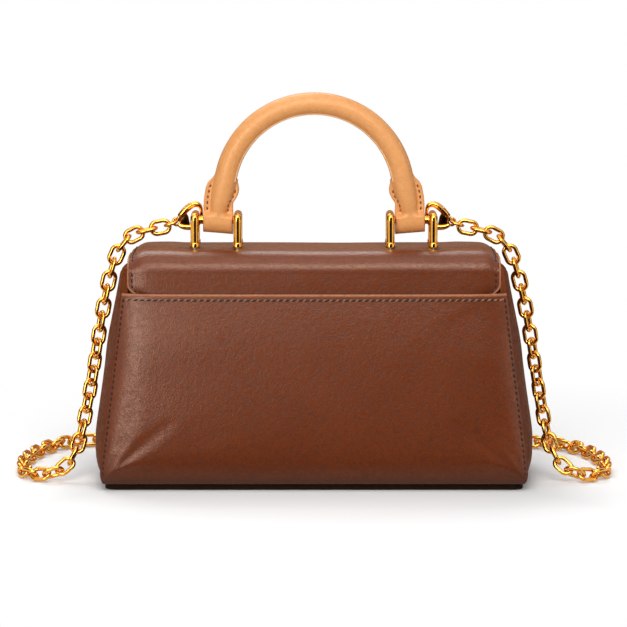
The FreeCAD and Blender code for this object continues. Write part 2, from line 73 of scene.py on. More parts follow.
def start():
    """Leave edit mode and select nothing."""
    if bpy.context.object and bpy.context.object.mode != "OBJECT":
        bpy.ops.object.mode_set(mode="OBJECT")
    bpy.ops.object.select_all(action="DESELECT")


def pick(obj):
    """Select one object only."""
    start()
    obj.select_set(True)
    bpy.context.view_layer.objects.active = obj


def settle(obj, name):
    """Name a piece and bake its place into its mesh."""
    pick(obj)
    bpy.ops.object.transform_apply(location=True, rotation=True, scale=True)
    obj.name = obj.data.name = name
    return obj


def modify(obj, kind, **values):
    """Add a modifier with its settings and apply it."""
    pick(obj)
    modifier = obj.modifiers.new(kind.lower(), kind)
    for key, value in values.items():
        setattr(modifier, key, value)
    bpy.ops.object.modifier_apply(modifier=modifier.name)


def edit(obj, *operators):
    """Run edit-mode operators, each with its settings, on all of a piece."""
    pick(obj)
    bpy.ops.object.mode_set(mode="EDIT")
    bpy.ops.mesh.select_all(action="SELECT")
    for operator, settings in operators:
        operator(**settings)
    bpy.ops.object.mode_set(mode="OBJECT")


def smooth(obj, degrees=40):
    """Shade smooth except across sharp edges."""
    pick(obj)
    bpy.ops.object.shade_smooth_by_angle(angle=math.radians(degrees))


def outwards(obj):
    """Merge doubles and turn all faces outwards."""
    edit(obj, (bpy.ops.mesh.remove_doubles, {"threshold": 0.00001}),
         (bpy.ops.mesh.normals_make_consistent, {"inside": False}))


def join(pieces, name):
    """Join several meshes into the first one."""
    start()
    for piece in pieces:
        piece.select_set(True)
    bpy.context.view_layer.objects.active = pieces[0]
    bpy.ops.object.join()
    return settle(pieces[0], name)


def copied(obj, matrix):
    """A copy with its own mesh, put where the matrix says."""
    twin = obj.copy()
    twin.data = obj.data.copy()
    twin.matrix_world = matrix
    scene.collection.objects.link(twin)
    return twin


def mirrored(obj, name):
    """The same piece on the other side of the bag."""
    twin = settle(copied(obj, Matrix.Scale(-1, 4, (1, 0, 0))), name)
    outwards(twin)
    return twin


def discard(obj):
    """Delete a pattern piece after it has been copied."""
    pick(obj)
    bpy.ops.object.delete()


def finish_piece(obj, body, slot, material, *nodes):
    """Give a piece its finish and its body, and hide the nodes that it stands for."""
    if material:
        obj.data.materials.clear()
        obj.data.materials.append(material)
    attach(obj, body)
    if nodes:
        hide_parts(*nodes)
    return obj


def finish_pair(right, degrees, body, slot, material, node=None):
    """Smooth a right-hand piece, mirror it and finish both; {} in a name stands for the side."""
    smooth(right, degrees)
    left = mirrored(right, right.name.replace("right", "left"))
    smooth(left, degrees)
    for side, piece in (("right", right), ("left", left)):
        nodes = [node.format(side)] if node else []
        finish_piece(piece, body.format(side), slot, material, *nodes)
    return left


def ease(value, low, high):
    """Smooth step from 0 at low to 1 at high."""
    t = min(max((value - low) / (high - low), 0.0), 1.0)
    return t * t * (3 - 2 * t)


def steps(low, high, count):
    """Evenly spaced numbers."""
    return [low + (high - low) * i / (count - 1) for i in range(count)]


def table_value(rows, at, eased=False):
    """Read a table of place and value, straight or eased between its rows."""
    for (low, a), (high, b) in zip(rows, rows[1:]):
        if at <= high:
            return a + (b - a) * (ease(at, low, high) if eased else (at - low) / (high - low))
    return rows[-1][1]


# %% [markdown]
# ## Node helpers
# Every finish is a small tree of shader nodes. These helpers add a node, feed its sockets
# and join the usual pairs, so that a finish reads as a list of what it mixes.


# %% Helpers for shader nodes
def feed(tree, socket, value):
    """Give a socket a number, a tuple or the output of another node."""
    if isinstance(value, (int, float, tuple)):
        socket.default_value = value
    else:
        tree.links.new(value, socket)


def add(tree, kind, *ordered, **named):
    """Add a node, set its named properties and inputs, and feed its first inputs in order."""
    node = tree.nodes.new(kind)
    for key, value in named.items():
        if hasattr(node, key):
            setattr(node, key, value)
        else:
            feed(tree, node.inputs[key.replace("_", " ")], value)
    for socket, value in zip(node.inputs, ordered):
        feed(tree, socket, value)
    return node


def math_node(tree, operation, first, second):
    """A Math node between two sockets or numbers."""
    return add(tree, "ShaderNodeMath", first, second, operation=operation).outputs[0]


def vector_node(tree, operation, *values):
    """A Vector Math node between sockets or vectors."""
    return add(tree, "ShaderNodeVectorMath", *values, operation=operation)


def mix_colour(tree, factor, first, second):
    """A colour Mix node; returns its colour output."""
    node = add(tree, "ShaderNodeMix", data_type="RGBA")
    for index, value in ((0, factor), (6, first), (7, second)):
        feed(tree, node.inputs[index], value)
    return node.outputs[2]


def spread(tree, value, low, high, out_low, out_high):
    """Map a value from one range to another, clamped."""
    return add(tree, "ShaderNodeMapRange", Value=value, From_Min=low, From_Max=high,
               To_Min=out_low, To_Max=out_high).outputs["Result"]


def object_place(tree):
    """Object coordinates, in metres."""
    return add(tree, "ShaderNodeTexCoord").outputs["Object"]


def new_group(name, inputs, outputs):
    """A shader node group with named sockets: (name, socket type, default)."""
    group = bpy.data.node_groups.new(name, "ShaderNodeTree")
    for label, kind, default in inputs:
        socket = group.interface.new_socket(name=label, in_out="INPUT", socket_type=kind)
        socket.default_value = default
    for label, kind in outputs:
        group.interface.new_socket(name=label, in_out="OUTPUT", socket_type=kind)
    return group, group.nodes.new("NodeGroupInput"), group.nodes.new("NodeGroupOutput")


def painted(name):
    """A new material with its node tree and its Principled shader."""
    material = bpy.data.materials.new(name)
    material.use_nodes = True
    return material, material.node_tree, material.node_tree.nodes["Principled BSDF"]


# %% [markdown]
# ## Camera
# The photograph looks at the back of the bag, a little from above, through a long lens. The
# numbers come from matching its edges.

# %% Camera
CAMERA_PLACE = (-0.0003, -1.5795, 0.3398)
CAMERA_DOWN = 8.78
CAMERA_LENS = 157.7

start()
bpy.ops.object.camera_add(location=CAMERA_PLACE, rotation=(math.radians(90 - CAMERA_DOWN), 0, 0))
camera = bpy.context.object
camera.data.lens = CAMERA_LENS
camera.data.sensor_width = 36.0
camera.data.clip_end = 20.0
scene.camera = camera
print("camera with a lens of", CAMERA_LENS)

# %% [markdown]
# ## Lamps
# Large soft lamps stand where a studio would put them: a key beside the camera, a broad one
# above it, a weak one over the bag, a strip at the right, and one behind for the sheen along
# the top edge. They stay dim enough that a colour renders about as it is written.

# %% Lamps
LAMPS = [
    ("key_light", (-0.72, -1.56, 0.5), (0, 0, 0.08), (0.6, 0.9), 13.0),
    ("front_light", (0.1, -1.3, 1.2), (0, 0, 0.07), (1.1, 0.7), 17.0),
    ("top_light", (0.0, -0.35, 1.5), (0, 0, 0.1), (1.2, 0.5), 3.2),
    ("right_light", (1.3, -0.5, 0.45), (0, 0, 0.08), (0.3, 0.9), 1.6),
    ("rear_light", (-0.3, 0.8, 1.45), (0, 0.04, 0.08), (1.2, 0.6), 11.0),
]
for name, place, aim, size, power in LAMPS:
    start()
    bpy.ops.object.light_add(type="AREA", location=place)
    lamp = bpy.context.object
    lamp.name = name
    lamp.data.shape = "RECTANGLE"
    lamp.data.size, lamp.data.size_y = size
    lamp.data.energy = power
    lamp.rotation_euler = (Vector(aim) - Vector(place)).to_track_quat("-Z", "Y").to_euler()
print(len(LAMPS), "lamps")

# %% [markdown]
# ## World and floor
# The floor and the world are white to the camera and to mirrors, and dimmer as a source of
# light. Near the bag the floor is a matte sheet that keeps the soft shadow, with painted shade
# round the bag's foot, where the glow that lifts the floor grows only over the first few centimetres.
# Farther out it fades into white paper.

# %% World
AMBIENT = 0.16


def white_to_camera(tree, plain, seen):
    """Mix two shaders: one for light on the object, one for what the camera and mirrors see."""
    path = add(tree, "ShaderNodeLightPath").outputs
    mirrors = math_node(tree, "MAXIMUM", path["Is Glossy Ray"], path["Is Transmission Ray"])
    either = math_node(tree, "MAXIMUM", path["Is Camera Ray"], mirrors)
    return add(tree, "ShaderNodeMixShader", either, plain, seen).outputs[0]


world = bpy.data.worlds.new("studio")
scene.world = world
world.use_nodes = True
tree = world.node_tree
ambient = tree.nodes["Background"]
ambient.inputs["Color"].default_value = (1, 1, 1, 1)
ambient.inputs["Strength"].default_value = AMBIENT
white = add(tree, "ShaderNodeBackground", Color=(1, 1, 1, 1), Strength=1.0)
tree.links.new(white_to_camera(tree, ambient.outputs[0], white.outputs[0]),
               tree.nodes["World Output"].inputs["Surface"])
print("world is white to the camera")

# %% Floor
FLOOR_LIFT = 0.15
BAG_FOOT = (0.122, 0.042, 0.0)
PAINTED_SHADE_REACH = 0.05
FADE_START, FADE_END = 0.17, 0.36

start()
bpy.ops.mesh.primitive_plane_add(size=16, location=(0, 0, -0.0002))
floor = bpy.context.object
floor.name = "floor"
floor_paint, tree, matte = painted("floor_paint")
matte.inputs["Base Color"].default_value = (0.86, 0.86, 0.86, 1)
matte.inputs["Roughness"].default_value = 0.9
matte.inputs["Specular IOR Level"].default_value = 0.0
spot = object_place(tree)
# Painted shade: the glow is nothing at the bag's foot and grows to full strength over the reach beyond it.
past = vector_node(tree, "SUBTRACT", vector_node(tree, "ABSOLUTE", spot).outputs[0], BAG_FOOT)
sides = add(tree, "ShaderNodeSeparateXYZ", past.outputs[0]).outputs
nearest = math_node(tree, "MAXIMUM", sides["X"], sides["Y"])
clear = spread(tree, nearest, 0.0, PAINTED_SHADE_REACH, 0.0, FLOOR_LIFT)
lift = add(tree, "ShaderNodeEmission", Strength=clear)
lifted = add(tree, "ShaderNodeAddShader", matte.outputs[0], lift.outputs[0])
fade = spread(tree, vector_node(tree, "LENGTH", spot).outputs["Value"], FADE_START, FADE_END, 0.0, 1.0)
paper = add(tree, "ShaderNodeEmission")
faded = add(tree, "ShaderNodeMixShader", fade, lifted.outputs[0], paper.outputs[0])
bounce = add(tree, "ShaderNodeBsdfDiffuse", Color=(0.42, 0.41, 0.40, 1))
tree.links.new(white_to_camera(tree, bounce.outputs[0], faded.outputs[0]),
               tree.nodes["Material Output"].inputs["Surface"])
floor.data.materials.append(floor_paint)
print("floor fades from", FADE_START, "to", FADE_END, "m")

# %% [markdown]
# ## Cards
# Polished metal and smooth leather show what stands round them. Photographers put dark cards
# beside such things, for the dark lines in the metal and a deep colour in the leather. Only
# mirrors see these cards, so they throw no shadow.

# %% Dark cards
BLACK = (0.003, 0.003, 0.003)
BAG_MIDDLE = (0, 0, 0.12)
CARDS = [
    ("card_front", (0.10, -0.62, 0.13), (0.76, 0.36), BLACK),
    ("card_left", (-2.0, 0.1, 0.6), (1.6, 1.5), BLACK),
    ("card_right", (1.9, -0.1, 0.6), (1.5, 1.5), BLACK),
    ("card_back", (0.0, 1.0, 0.30), (3.0, 0.7), (0.66, 0.39, 0.23)),
    ("card_floor", (0.02, -0.37, 0.0015), (0.8, 0.6), (0.03, 0.02, 0.015)),
]
for name, place, size, shade in CARDS:
    start()
    bpy.ops.mesh.primitive_plane_add(size=1, location=place)
    card = bpy.context.object
    card.name = name
    card.scale = (*size, 1)
    if name != "card_floor":
        card.rotation_euler = (Vector(BAG_MIDDLE) - Vector(place)).to_track_quat("Z", "Y").to_euler()
    card.visible_camera = card.visible_diffuse = card.visible_shadow = card.visible_transmission = False
    paint, tree, matte = painted(name + "_paint")
    matte.inputs["Base Color"].default_value = (*shade, 1)
    matte.inputs["Specular IOR Level"].default_value = 0.0
    card.data.materials.append(paint)
print(len(CARDS), "cards")

# %% [markdown]
# ## Leather
# The bag has brown calf leather with a fine crease grain, and honey coloured vegetable
# leather on the handle. Grain is one node group, used by both with different values, because
# the same skin pattern shows in both: cells bent by noise, creases, pores and a slow change
# of tone. It puts out colour, roughness and height.

# %% The leather grain group
FLOAT, COLOUR = "NodeSocketFloat", "NodeSocketColor"
SURFACE = [("Colour", COLOUR), ("Roughness", FLOAT), ("Height", FLOAT)]
grain, g_in, g_out = new_group(
    "leather_grain",
    [("Leather", COLOUR, (0.2, 0.1, 0.05, 1)), ("Crease", COLOUR, (0.1, 0.05, 0.02, 1)),
     ("Cells", FLOAT, 700.0), ("Gloss", FLOAT, 0.45)], SURFACE)
spot = object_place(grain)
bend = add(grain, "ShaderNodeTexNoise", Vector=spot, Scale=160.0, Detail=2.0)
push = vector_node(grain, "SCALE", bend.outputs["Color"])
push.inputs["Scale"].default_value = 0.0022
warped = vector_node(grain, "ADD", spot, push.outputs[0])
cells = add(grain, "ShaderNodeTexVoronoi", feature="DISTANCE_TO_EDGE", Vector=warped.outputs[0],
            Scale=g_in.outputs["Cells"])
pores = add(grain, "ShaderNodeTexNoise", Vector=spot, Scale=1100.0, Detail=3.0, Roughness=0.6)
creases = add(grain, "ShaderNodeTexNoise", Vector=spot, Scale=330.0, Detail=4.0, Roughness=0.55,
              Distortion=0.8)
cloud = add(grain, "ShaderNodeTexNoise", Vector=spot, Scale=26.0, Detail=3.0)
plateau = spread(grain, cells.outputs["Distance"], 0.0, 0.16, 0.0, 0.45)
fold = spread(grain, creases.outputs["Fac"], 0.35, 0.62, 0.0, 1.0)
folds = math_node(grain, "MULTIPLY", fold, 0.75)
pitted = math_node(grain, "MULTIPLY", pores.outputs["Fac"], 0.25)
height = math_node(grain, "ADD", plateau, math_node(grain, "ADD", folds, pitted))
tone = math_node(grain, "ADD", math_node(grain, "MULTIPLY", height, 0.62),
                 spread(grain, cloud.outputs["Fac"], 0.3, 0.7, 0.12, 0.3))
dull = math_node(grain, "MULTIPLY", math_node(grain, "SUBTRACT", 1.0, fold), 0.1)
feed(grain, g_out.inputs["Colour"], mix_colour(grain, tone, g_in.outputs["Crease"], g_in.outputs["Leather"]))
feed(grain, g_out.inputs["Roughness"], math_node(grain, "ADD", g_in.outputs["Gloss"], dull))
feed(grain, g_out.inputs["Height"], height)
print("grain group of", len(grain.nodes), "nodes")


# %% Leather finishes
WARM_SHEEN = (1.0, 0.78, 0.64, 1)


def grouped(name, group, strength, depth, **values):
    """A material whose colour, roughness and relief come from a node group."""
    material, tree, shader = painted(name)
    node = add(tree, "ShaderNodeGroup", node_tree=group)
    for label, value in values.items():
        node.inputs[label].default_value = (*value, 1) if isinstance(value, tuple) else value
    relief = add(tree, "ShaderNodeBump", Strength=strength, Distance=depth, Height=node.outputs["Height"])
    feed(tree, shader.inputs["Base Color"], node.outputs["Colour"])
    feed(tree, shader.inputs["Roughness"], node.outputs["Roughness"])
    feed(tree, shader.inputs["Normal"], relief.outputs["Normal"])
    return material


def leather(name, skin, crease, cells_per_metre, gloss, depth, specular=0.3):
    """A leather finish from the grain group, with painted shade mixed in where a point attribute asks for
    it.
    """
    material = grouped(name, grain, 1.0, depth, Leather=skin, Crease=crease, Cells=cells_per_metre,
                       Gloss=gloss)
    tree = material.node_tree
    shader = tree.nodes["Principled BSDF"]
    # Painted shade: a point attribute darkens the colour towards a deep crease tone; only the pocket carries
    # it, at its foot.
    painted_foot_shade = add(tree, "ShaderNodeAttribute", attribute_name="painted_foot_shade")
    dark = tuple(0.45 * c for c in crease) + (1,)
    plain = shader.inputs["Base Color"].links[0].from_socket
    feed(tree, shader.inputs["Base Color"], mix_colour(tree, painted_foot_shade.outputs["Fac"], plain, dark))
    shader.inputs["Specular IOR Level"].default_value = specular
    shader.inputs["Specular Tint"].default_value = WARM_SHEEN
    return material


brown = leather("brown_leather_skin", (0.146, 0.029, 0.0066), (0.070, 0.0118, 0.0026),
                620.0, 0.28, 0.00005, 0.5)
brown_side = leather("brown_side_skin", (0.150, 0.036, 0.0100), (0.078, 0.0150, 0.0038),
                     620.0, 0.5, 0.00004, 0.1)
brown_edge = leather("brown_edge_paint", (0.060, 0.018, 0.007), (0.036, 0.010, 0.0036),
                     300.0, 0.42, 0.00004)
# Near black: partly dark edge paint, partly painted shade for the strip set in under the bag.
base_paint_and_painted_shade = leather("base_edge_paint", (0.022, 0.009, 0.004), (0.012, 0.005, 0.002),
                     300.0, 0.5, 0.00004, 0.06)
# Lighter than the skin: partly polished edge paint, partly a painted highlight for the line of light along
# the pocket's mouth and the flap's edges.
lip_paint_and_highlight = leather("lip_edge_paint", (0.37, 0.148, 0.074), (0.25, 0.087, 0.040), 300.0, 0.28, 0.00003)
tan = leather("tan_leather_skin", (0.76, 0.347, 0.122), (0.65, 0.267, 0.078), 800.0, 0.34, 0.00005, 0.5)
tan_edge = leather("tan_edge_paint", (0.95, 0.56, 0.28), (0.80, 0.40, 0.15), 400.0, 0.45, 0.00003)
print("leather finishes are mixed")

# %% [markdown]
# ## Metal
# The brackets, hooks and chain are cast or bent in a base metal and plated gold-tone. A thin
# film of handling changes the tone and the gloss a little, and very fine polishing marks
# break up the reflections.

# %% The polish group and the metals
polish, p_in, p_out = new_group(
    "polish",
    [("Metal", COLOUR, (0.8, 0.5, 0.15, 1)), ("Shade", COLOUR, (0.6, 0.3, 0.06, 1)),
     ("Gloss", FLOAT, 0.12)], SURFACE)
spot = object_place(polish)
film = add(polish, "ShaderNodeTexNoise", Vector=spot, Scale=240.0, Detail=3.0)
marks = add(polish, "ShaderNodeTexNoise", Vector=spot, Scale=2600.0, Detail=2.0)
worn = spread(polish, film.outputs["Fac"], 0.3, 0.7, 0.0, 1.0)
dull = math_node(polish, "MULTIPLY", worn, 0.06)
feed(polish, p_out.inputs["Colour"], mix_colour(polish, worn, p_in.outputs["Shade"], p_in.outputs["Metal"]))
feed(polish, p_out.inputs["Roughness"], math_node(polish, "ADD", p_in.outputs["Gloss"], dull))
feed(polish, p_out.inputs["Height"], marks.outputs["Fac"])


def metal(name, bright, shade, gloss):
    """A polished metal finish from the polish group."""
    material = grouped(name, polish, 0.05, 0.00002, Metal=bright, Shade=shade, Gloss=gloss)
    material.node_tree.nodes["Principled BSDF"].inputs["Metallic"].default_value = 1.0
    return material


# Near-black gold: painted shade for the hollow inside each hook.
painted_shade_gold = metal("gold_in_painted_shade", (0.10, 0.045, 0.010), (0.05, 0.02, 0.005), 0.2)
gold = metal("gold_tone", (0.83, 0.42, 0.075), (0.74, 0.34, 0.05), 0.07)
steel = metal("plain_steel", (0.62, 0.62, 0.63), (0.5, 0.5, 0.52), 0.28)
print("metals are mixed")

# %% [markdown]
# ## Thread, lining and board
# Waxed thread, lining cloth and stiffening board are all fibres laid across each other, so
# one weave group of two crossed waves serves them, at a different count for each.

# %% The weave group, thread, lining and board
weave, w_in, w_out = new_group(
    "weave",
    [("Thread", COLOUR, (0.3, 0.2, 0.1, 1)), ("Gap", COLOUR, (0.1, 0.06, 0.03, 1)),
     ("Count", FLOAT, 1800.0)], SURFACE)
spot = object_place(weave)
waves = [add(weave, "ShaderNodeTexWave", bands_direction=direction, Vector=spot, Scale=w_in.outputs["Count"],
             Distortion=0.6, Detail=1.0).outputs["Fac"] for direction in ("X", "Z")]
raised = math_node(weave, "MULTIPLY", *waves)
feed(weave, w_out.inputs["Colour"], mix_colour(weave, raised, w_in.outputs["Gap"], w_in.outputs["Thread"]))
feed(weave, w_out.inputs["Roughness"], spread(weave, raised, 0.0, 1.0, 0.9, 0.7))
feed(weave, w_out.inputs["Height"], raised)


def woven(name, thread_colour, gap_colour, count, depth):
    """Thread or cloth from the weave group."""
    return grouped(name, weave, 0.5, depth, Thread=thread_colour, Gap=gap_colour, Count=count)


brown_thread = woven("brown_thread", (0.40, 0.20, 0.12), (0.24, 0.11, 0.06), 2400.0, 0.00005)
dark_thread = woven("dark_thread", (0.035, 0.013, 0.007), (0.015, 0.006, 0.003), 2400.0, 0.00005)
tan_thread = woven("tan_thread", (0.26, 0.085, 0.022), (0.15, 0.045, 0.012), 2400.0, 0.00005)
lining_cloth = woven("lining_cloth", (0.36, 0.23, 0.14), (0.17, 0.10, 0.06), 900.0, 0.0001)
grey_board = woven("grey_board", (0.36, 0.31, 0.26), (0.28, 0.24, 0.20), 500.0, 0.00005)
print("finishes:", ", ".join(m.name for m in bpy.data.materials))

# %% [markdown]
# ## The chain
# A row of oval links, each turned a quarter against the last. A real one is bent from wire,
# link through link, and soldered shut. The route is a smooth spline through the air, down to
# the floor and round behind the bag. One link is modelled from a torus, pulled apart at its
# middle, and copied along points read from the spline.

# %% The route of the chain
ROUTE = [
    (-85.3, 4.2, 146.6), (-92.5, 4.2, 145.2), (-99.3, 4.1, 143.9), (-105.5, 3.9, 141.7),
    (-110.7, 3.7, 137.4), (-114.4, 3.5, 131.4), (-117.2, 3.0, 123.8), (-119.8, 2.4, 113.6),
    (-123.0, 1.4, 97.6), (-126.2, 0.0, 78.1), (-129.4, -3.0, 57.5), (-132.6, -7.0, 40.0),
    (-135.4, -11.2, 26.6), (-138.6, -15.0, 15.3), (-143.6, -18.2, 8.7), (-150.2, -19.8, 5.2),
    (-158.5, -18.8, 4.0), (-165.1, -14.4, 4.0), (-169.5, -7.0, 4.0), (-171.7, 4.0, 4.0),
    (-172.1, 19.0, 4.0), (-170.1, 37.0, 4.0), (-165.5, 55.0, 4.0), (-158.7, 70.0, 4.0),
    (-149.6, 80.8, 4.0), (-134.2, 85.3, 4.0), (-112.2, 84.3, 4.0), (-79.6, 80.3, 4.0),
    (-40.8, 79.8, 4.0), (0.0, 82.8, 4.0), (40.8, 84.3, 4.0), (79.6, 82.3, 4.0),
    (112.2, 79.8, 4.0), (133.7, 79.3, 4.0), (147.7, 74.2, 4.0), (157.5, 65.0, 4.0),
    (164.7, 51.0, 4.0), (169.5, 35.0, 4.0), (171.7, 18.0, 4.0), (171.9, 3.0, 4.0),
    (169.9, -8.0, 4.0), (165.7, -15.6, 4.0), (159.3, -20.2, 4.0), (151.0, -21.0, 5.2),
    (144.2, -18.8, 8.7), (139.0, -15.0, 15.3), (135.6, -11.0, 26.6), (132.8, -6.8, 40.0),
    (130.4, -2.8, 55.5), (127.9, -0.4, 71.9), (125.0, 1.0, 89.4), (121.6, 2.2, 106.9),
    (119.2, 2.8, 116.2), (117.2, 3.2, 124.0), (114.4, 3.5, 131.4), (110.7, 3.8, 137.4),
    (105.5, 4.0, 141.7), (99.3, 4.1, 143.9), (92.5, 4.2, 145.2), (85.3, 4.2, 146.6)]


def nurbs_line(name, points):
    """A NURBS curve with the given points as its control points, in millimetres."""
    data = bpy.data.curves.new(name, "CURVE")
    data.dimensions = "3D"
    data.resolution_u = 16
    spline = data.splines.new("NURBS")
    spline.points.add(len(points) - 1)
    for point, place in zip(spline.points, points):
        point.co = (*(Vector(place) * MM), 1)
    spline.order_u = 3
    spline.use_endpoint_u = True
    obj = bpy.data.objects.new(name, data)
    scene.collection.objects.link(obj)
    return obj


route_curve = nurbs_line("chain_route", ROUTE)
route_mesh = bpy.data.meshes.new_from_object(route_curve)
route = [v.co.copy() for v in route_mesh.vertices]
discard(route_curve)
bpy.data.meshes.remove(route_mesh)


def along(line, distance):
    """The point at a distance along a row of points."""
    for a, b in zip(line, line[1:]):
        step = (b - a).length
        if distance <= step:
            return a.lerp(b, distance / step)
        distance -= step
    return line[-1].copy()


chain_length = sum((b - a).length for a, b in zip(route, route[1:]))
print("chain route", round(chain_length, 4), "m over", len(route), "points")


# %% One link
def oval_link(length, width, wire):
    """A torus pulled apart into an oval link along X."""
    start()
    bend = (width - wire) / 2
    bpy.ops.mesh.primitive_torus_add(major_radius=bend * MM, minor_radius=wire / 2 * MM,
                                     major_segments=26, minor_segments=8)
    link = bpy.context.object
    straight = ((length - wire) / 2 - bend) * MM
    for side in (1, -1):
        pick(link)
        for vertex in link.data.vertices:
            vertex.select = vertex.co.x * side > 0
        for edge in link.data.edges:
            edge.select = False
        for face in link.data.polygons:
            face.select = False
        bpy.ops.object.mode_set(mode="EDIT")
        bpy.ops.transform.translate(value=(side * straight, 0, 0))
        bpy.ops.object.mode_set(mode="OBJECT")
    return link


def frame_of(x_axis, y_axis, z_axis, place):
    """A matrix from three unit vectors and a place."""
    return Matrix.Translation(place) @ Matrix((x_axis, y_axis, z_axis)).transposed().to_4x4()


# %% Copy the link along the route
LINK_COUNT = 109
LINK = {"length": 13.46, "width": 9.65, "wire": 2.42}
END_LINK = {"length": 9.0, "width": 8.0, "wire": 1.7}
END_LINK_SEAT = 0.2
HOOK_TAIL = Vector((79.8, 4.2, 149.1)) * MM
ROLL_START, LYING = 0.070, 0.006

link = oval_link(**LINK)
step = chain_length / LINK_COUNT
pivots = [along(route, step * i) for i in range(LINK_COUNT + 1)]
links = []
for i in range(LINK_COUNT):
    run = (pivots[i + 1] - pivots[i]).normalized()
    middle = (pivots[i] + pivots[i + 1]) / 2
    lying = min(max((ROLL_START - middle.z) / (ROLL_START - LYING), 0.0), 1.0)
    facing = Vector((0, 0, 1)).cross(run).normalized()
    roll = Matrix.Rotation(math.radians(45 * lying + 90 * (i % 2)), 4, "X")
    links.append(copied(link, frame_of(run, facing.cross(run), facing, middle) @ roll))
discard(link)
small = oval_link(**END_LINK)
for side, pivot in ((-1, (pivots[0] + pivots[1]) / 2), (1, (pivots[-1] + pivots[-2]) / 2)):
    tail = Vector((side * HOOK_TAIL.x, HOOK_TAIL.y, HOOK_TAIL.z))
    run = (pivot - tail).normalized()
    reach = ((END_LINK["length"] - END_LINK["wire"]) / 2 - END_LINK_SEAT) * MM
    across = Vector((0, 1, 0))
    links.append(copied(small, frame_of(run, across, run.cross(across), tail + run * reach)))
discard(small)
chain = join(links, "chain_links")
smooth(chain, 60)
finish_piece(chain, "bag", "gold_metal", gold, "chain_left_drop", "chain_floor_run", "chain_right_drop",
             "left_end_link", "right_end_link")
print("chain of", LINK_COUNT, "links, step", round(step * 1000, 2), "mm")

# %% [markdown]
# ## Brackets
# Each bracket is two round arches standing fore and aft, with a flared collar at each foot
# and a bar between them for the handle. A curve with a round bevel gives the bent rod, as a
# metalworker would bend it, and the collars are short turned pieces.

# %% Bent rods and turned collars
BODY_TOP = 135.2
POST_X = (44.1, 68.8)
POST_HALF_SPREAD = 8.5
POST_RADIUS = 2.4
POST_FOOT_Z = BODY_TOP + 0.1
COLLAR_RADIUS, COLLAR_HEIGHT, COLLAR_FLARE, COLLAR_BEVEL = 2.62, 3.4, 1.12, 0.45
BAR_RADIUS = 2.2
BRACKET_HEIGHT = 20.5
CROWN_Z = BODY_TOP + BRACKET_HEIGHT - POST_RADIUS
CROWN_TURN = 4.0
BAR_Z = 150.5


def rod(name, points, radius, radii=None, sides=3):
    """A round rod along a smooth line, as a mesh."""
    obj = nurbs_line(name, points)
    obj.data.bevel_depth = radius * MM
    obj.data.bevel_resolution = sides
    obj.data.use_fill_caps = True
    if radii:
        for point, size in zip(obj.data.splines[0].points, radii):
            point.radius = size / radius
    pick(obj)
    bpy.ops.object.convert(target="MESH")
    obj = bpy.context.object
    outwards(obj)
    return obj


def collar(x, y):
    """Flared foot of a post, turned from a cone."""
    start()
    bpy.ops.mesh.primitive_cone_add(vertices=28, radius1=COLLAR_RADIUS * COLLAR_FLARE * MM,
                                    radius2=COLLAR_RADIUS * MM, depth=COLLAR_HEIGHT * MM,
                                    location=(x * MM, y * MM, (POST_FOOT_Z + COLLAR_HEIGHT / 2) * MM))
    foot = bpy.context.object
    modify(foot, "BEVEL", width=COLLAR_BEVEL * MM, segments=3)
    return foot


# %% Brackets
def bracket():
    """Right bracket: two arches, four collars and the bar."""
    pieces = []
    low, turn, half = POST_FOOT_Z, CROWN_TURN, POST_HALF_SPREAD
    for x in POST_X:
        line = [(x, -half, low), (x, -half, low + 6), (x, -half, CROWN_Z - 1.6 * turn),
                (x, -half, CROWN_Z - 0.5), (x, -half + 0.5, CROWN_Z), (x, -half + 1.6 * turn, CROWN_Z),
                (x, 0, CROWN_Z)]
        line += [(px, -py, pz) for px, py, pz in line[-2::-1]]
        pieces.append(rod("post", line, POST_RADIUS))
        pieces += [collar(x, y) for y in (-half, half)]
    start()
    bpy.ops.mesh.primitive_cylinder_add(vertices=32, radius=BAR_RADIUS * MM,
                                        depth=(POST_X[1] - POST_X[0]) * MM,
                                        location=(sum(POST_X) / 2 * MM, 0, BAR_Z * MM),
                                        rotation=(0, math.pi / 2, 0))
    bar = bpy.context.object
    edit(bar, (bpy.ops.mesh.subdivide, {"number_cuts": 1}))
    pieces.append(bar)
    return join(pieces, "right_bracket_cast")


right_bracket = bracket()
finish_pair(right_bracket, 40, "bag", "gold_metal", gold, "{}_bracket")
print("brackets", len(right_bracket.data.polygons), "faces each")

# %% [markdown]
# ## Hooks
# A hook is a cast claw: a thick smooth rod that tapers over the bracket's crown and closes
# with a sprung gate on its upper side. The rod's radius changes along its line, which is
# what a curve with a radius at each point does well. Each row below is x, z and radius.

# %% Lines of the hook, and rods and plates in its plane
HOOK_Y = 4.2
CLAW = [(74.0, 156.5, 2.0), (71.8, 158.3, 1.9), (69.9, 159.2, 1.8), (68.2, 159.4, 1.7), (66.4, 158.6, 1.4),
        (65.4, 156.6, 1.0), (65.2, 153.6, 0.9), (65.6, 150.3, 1.0), (67.6, 147.3, 1.4), (71.0, 145.9, 1.7),
        (74.6, 145.9, 1.7), (77.0, 146.5, 1.5), (78.3, 147.2, 1.2)]
ROOT = [(79.2, 149.6, 1.2), (78.9, 150.6, 1.3), (78.4, 151.6, 1.35)]
GATE = [(78.2, 151.9, 1.35), (77.6, 152.5, 1.7), (76.5, 153.7, 1.9), (75.2, 155.2, 1.95),
        (74.2, 156.3, 1.95)]
WEB = [(78.3, 149.8), (76.0, 152.8), (74.2, 154.6), (72.9, 152.0), (71.8, 146.6), (77.4, 147.2)]
WEB_THICKNESS, WEB_BEVEL = 1.5, 0.3
EYE_RADIUS, EYE_WIRE = 2.1, 0.75


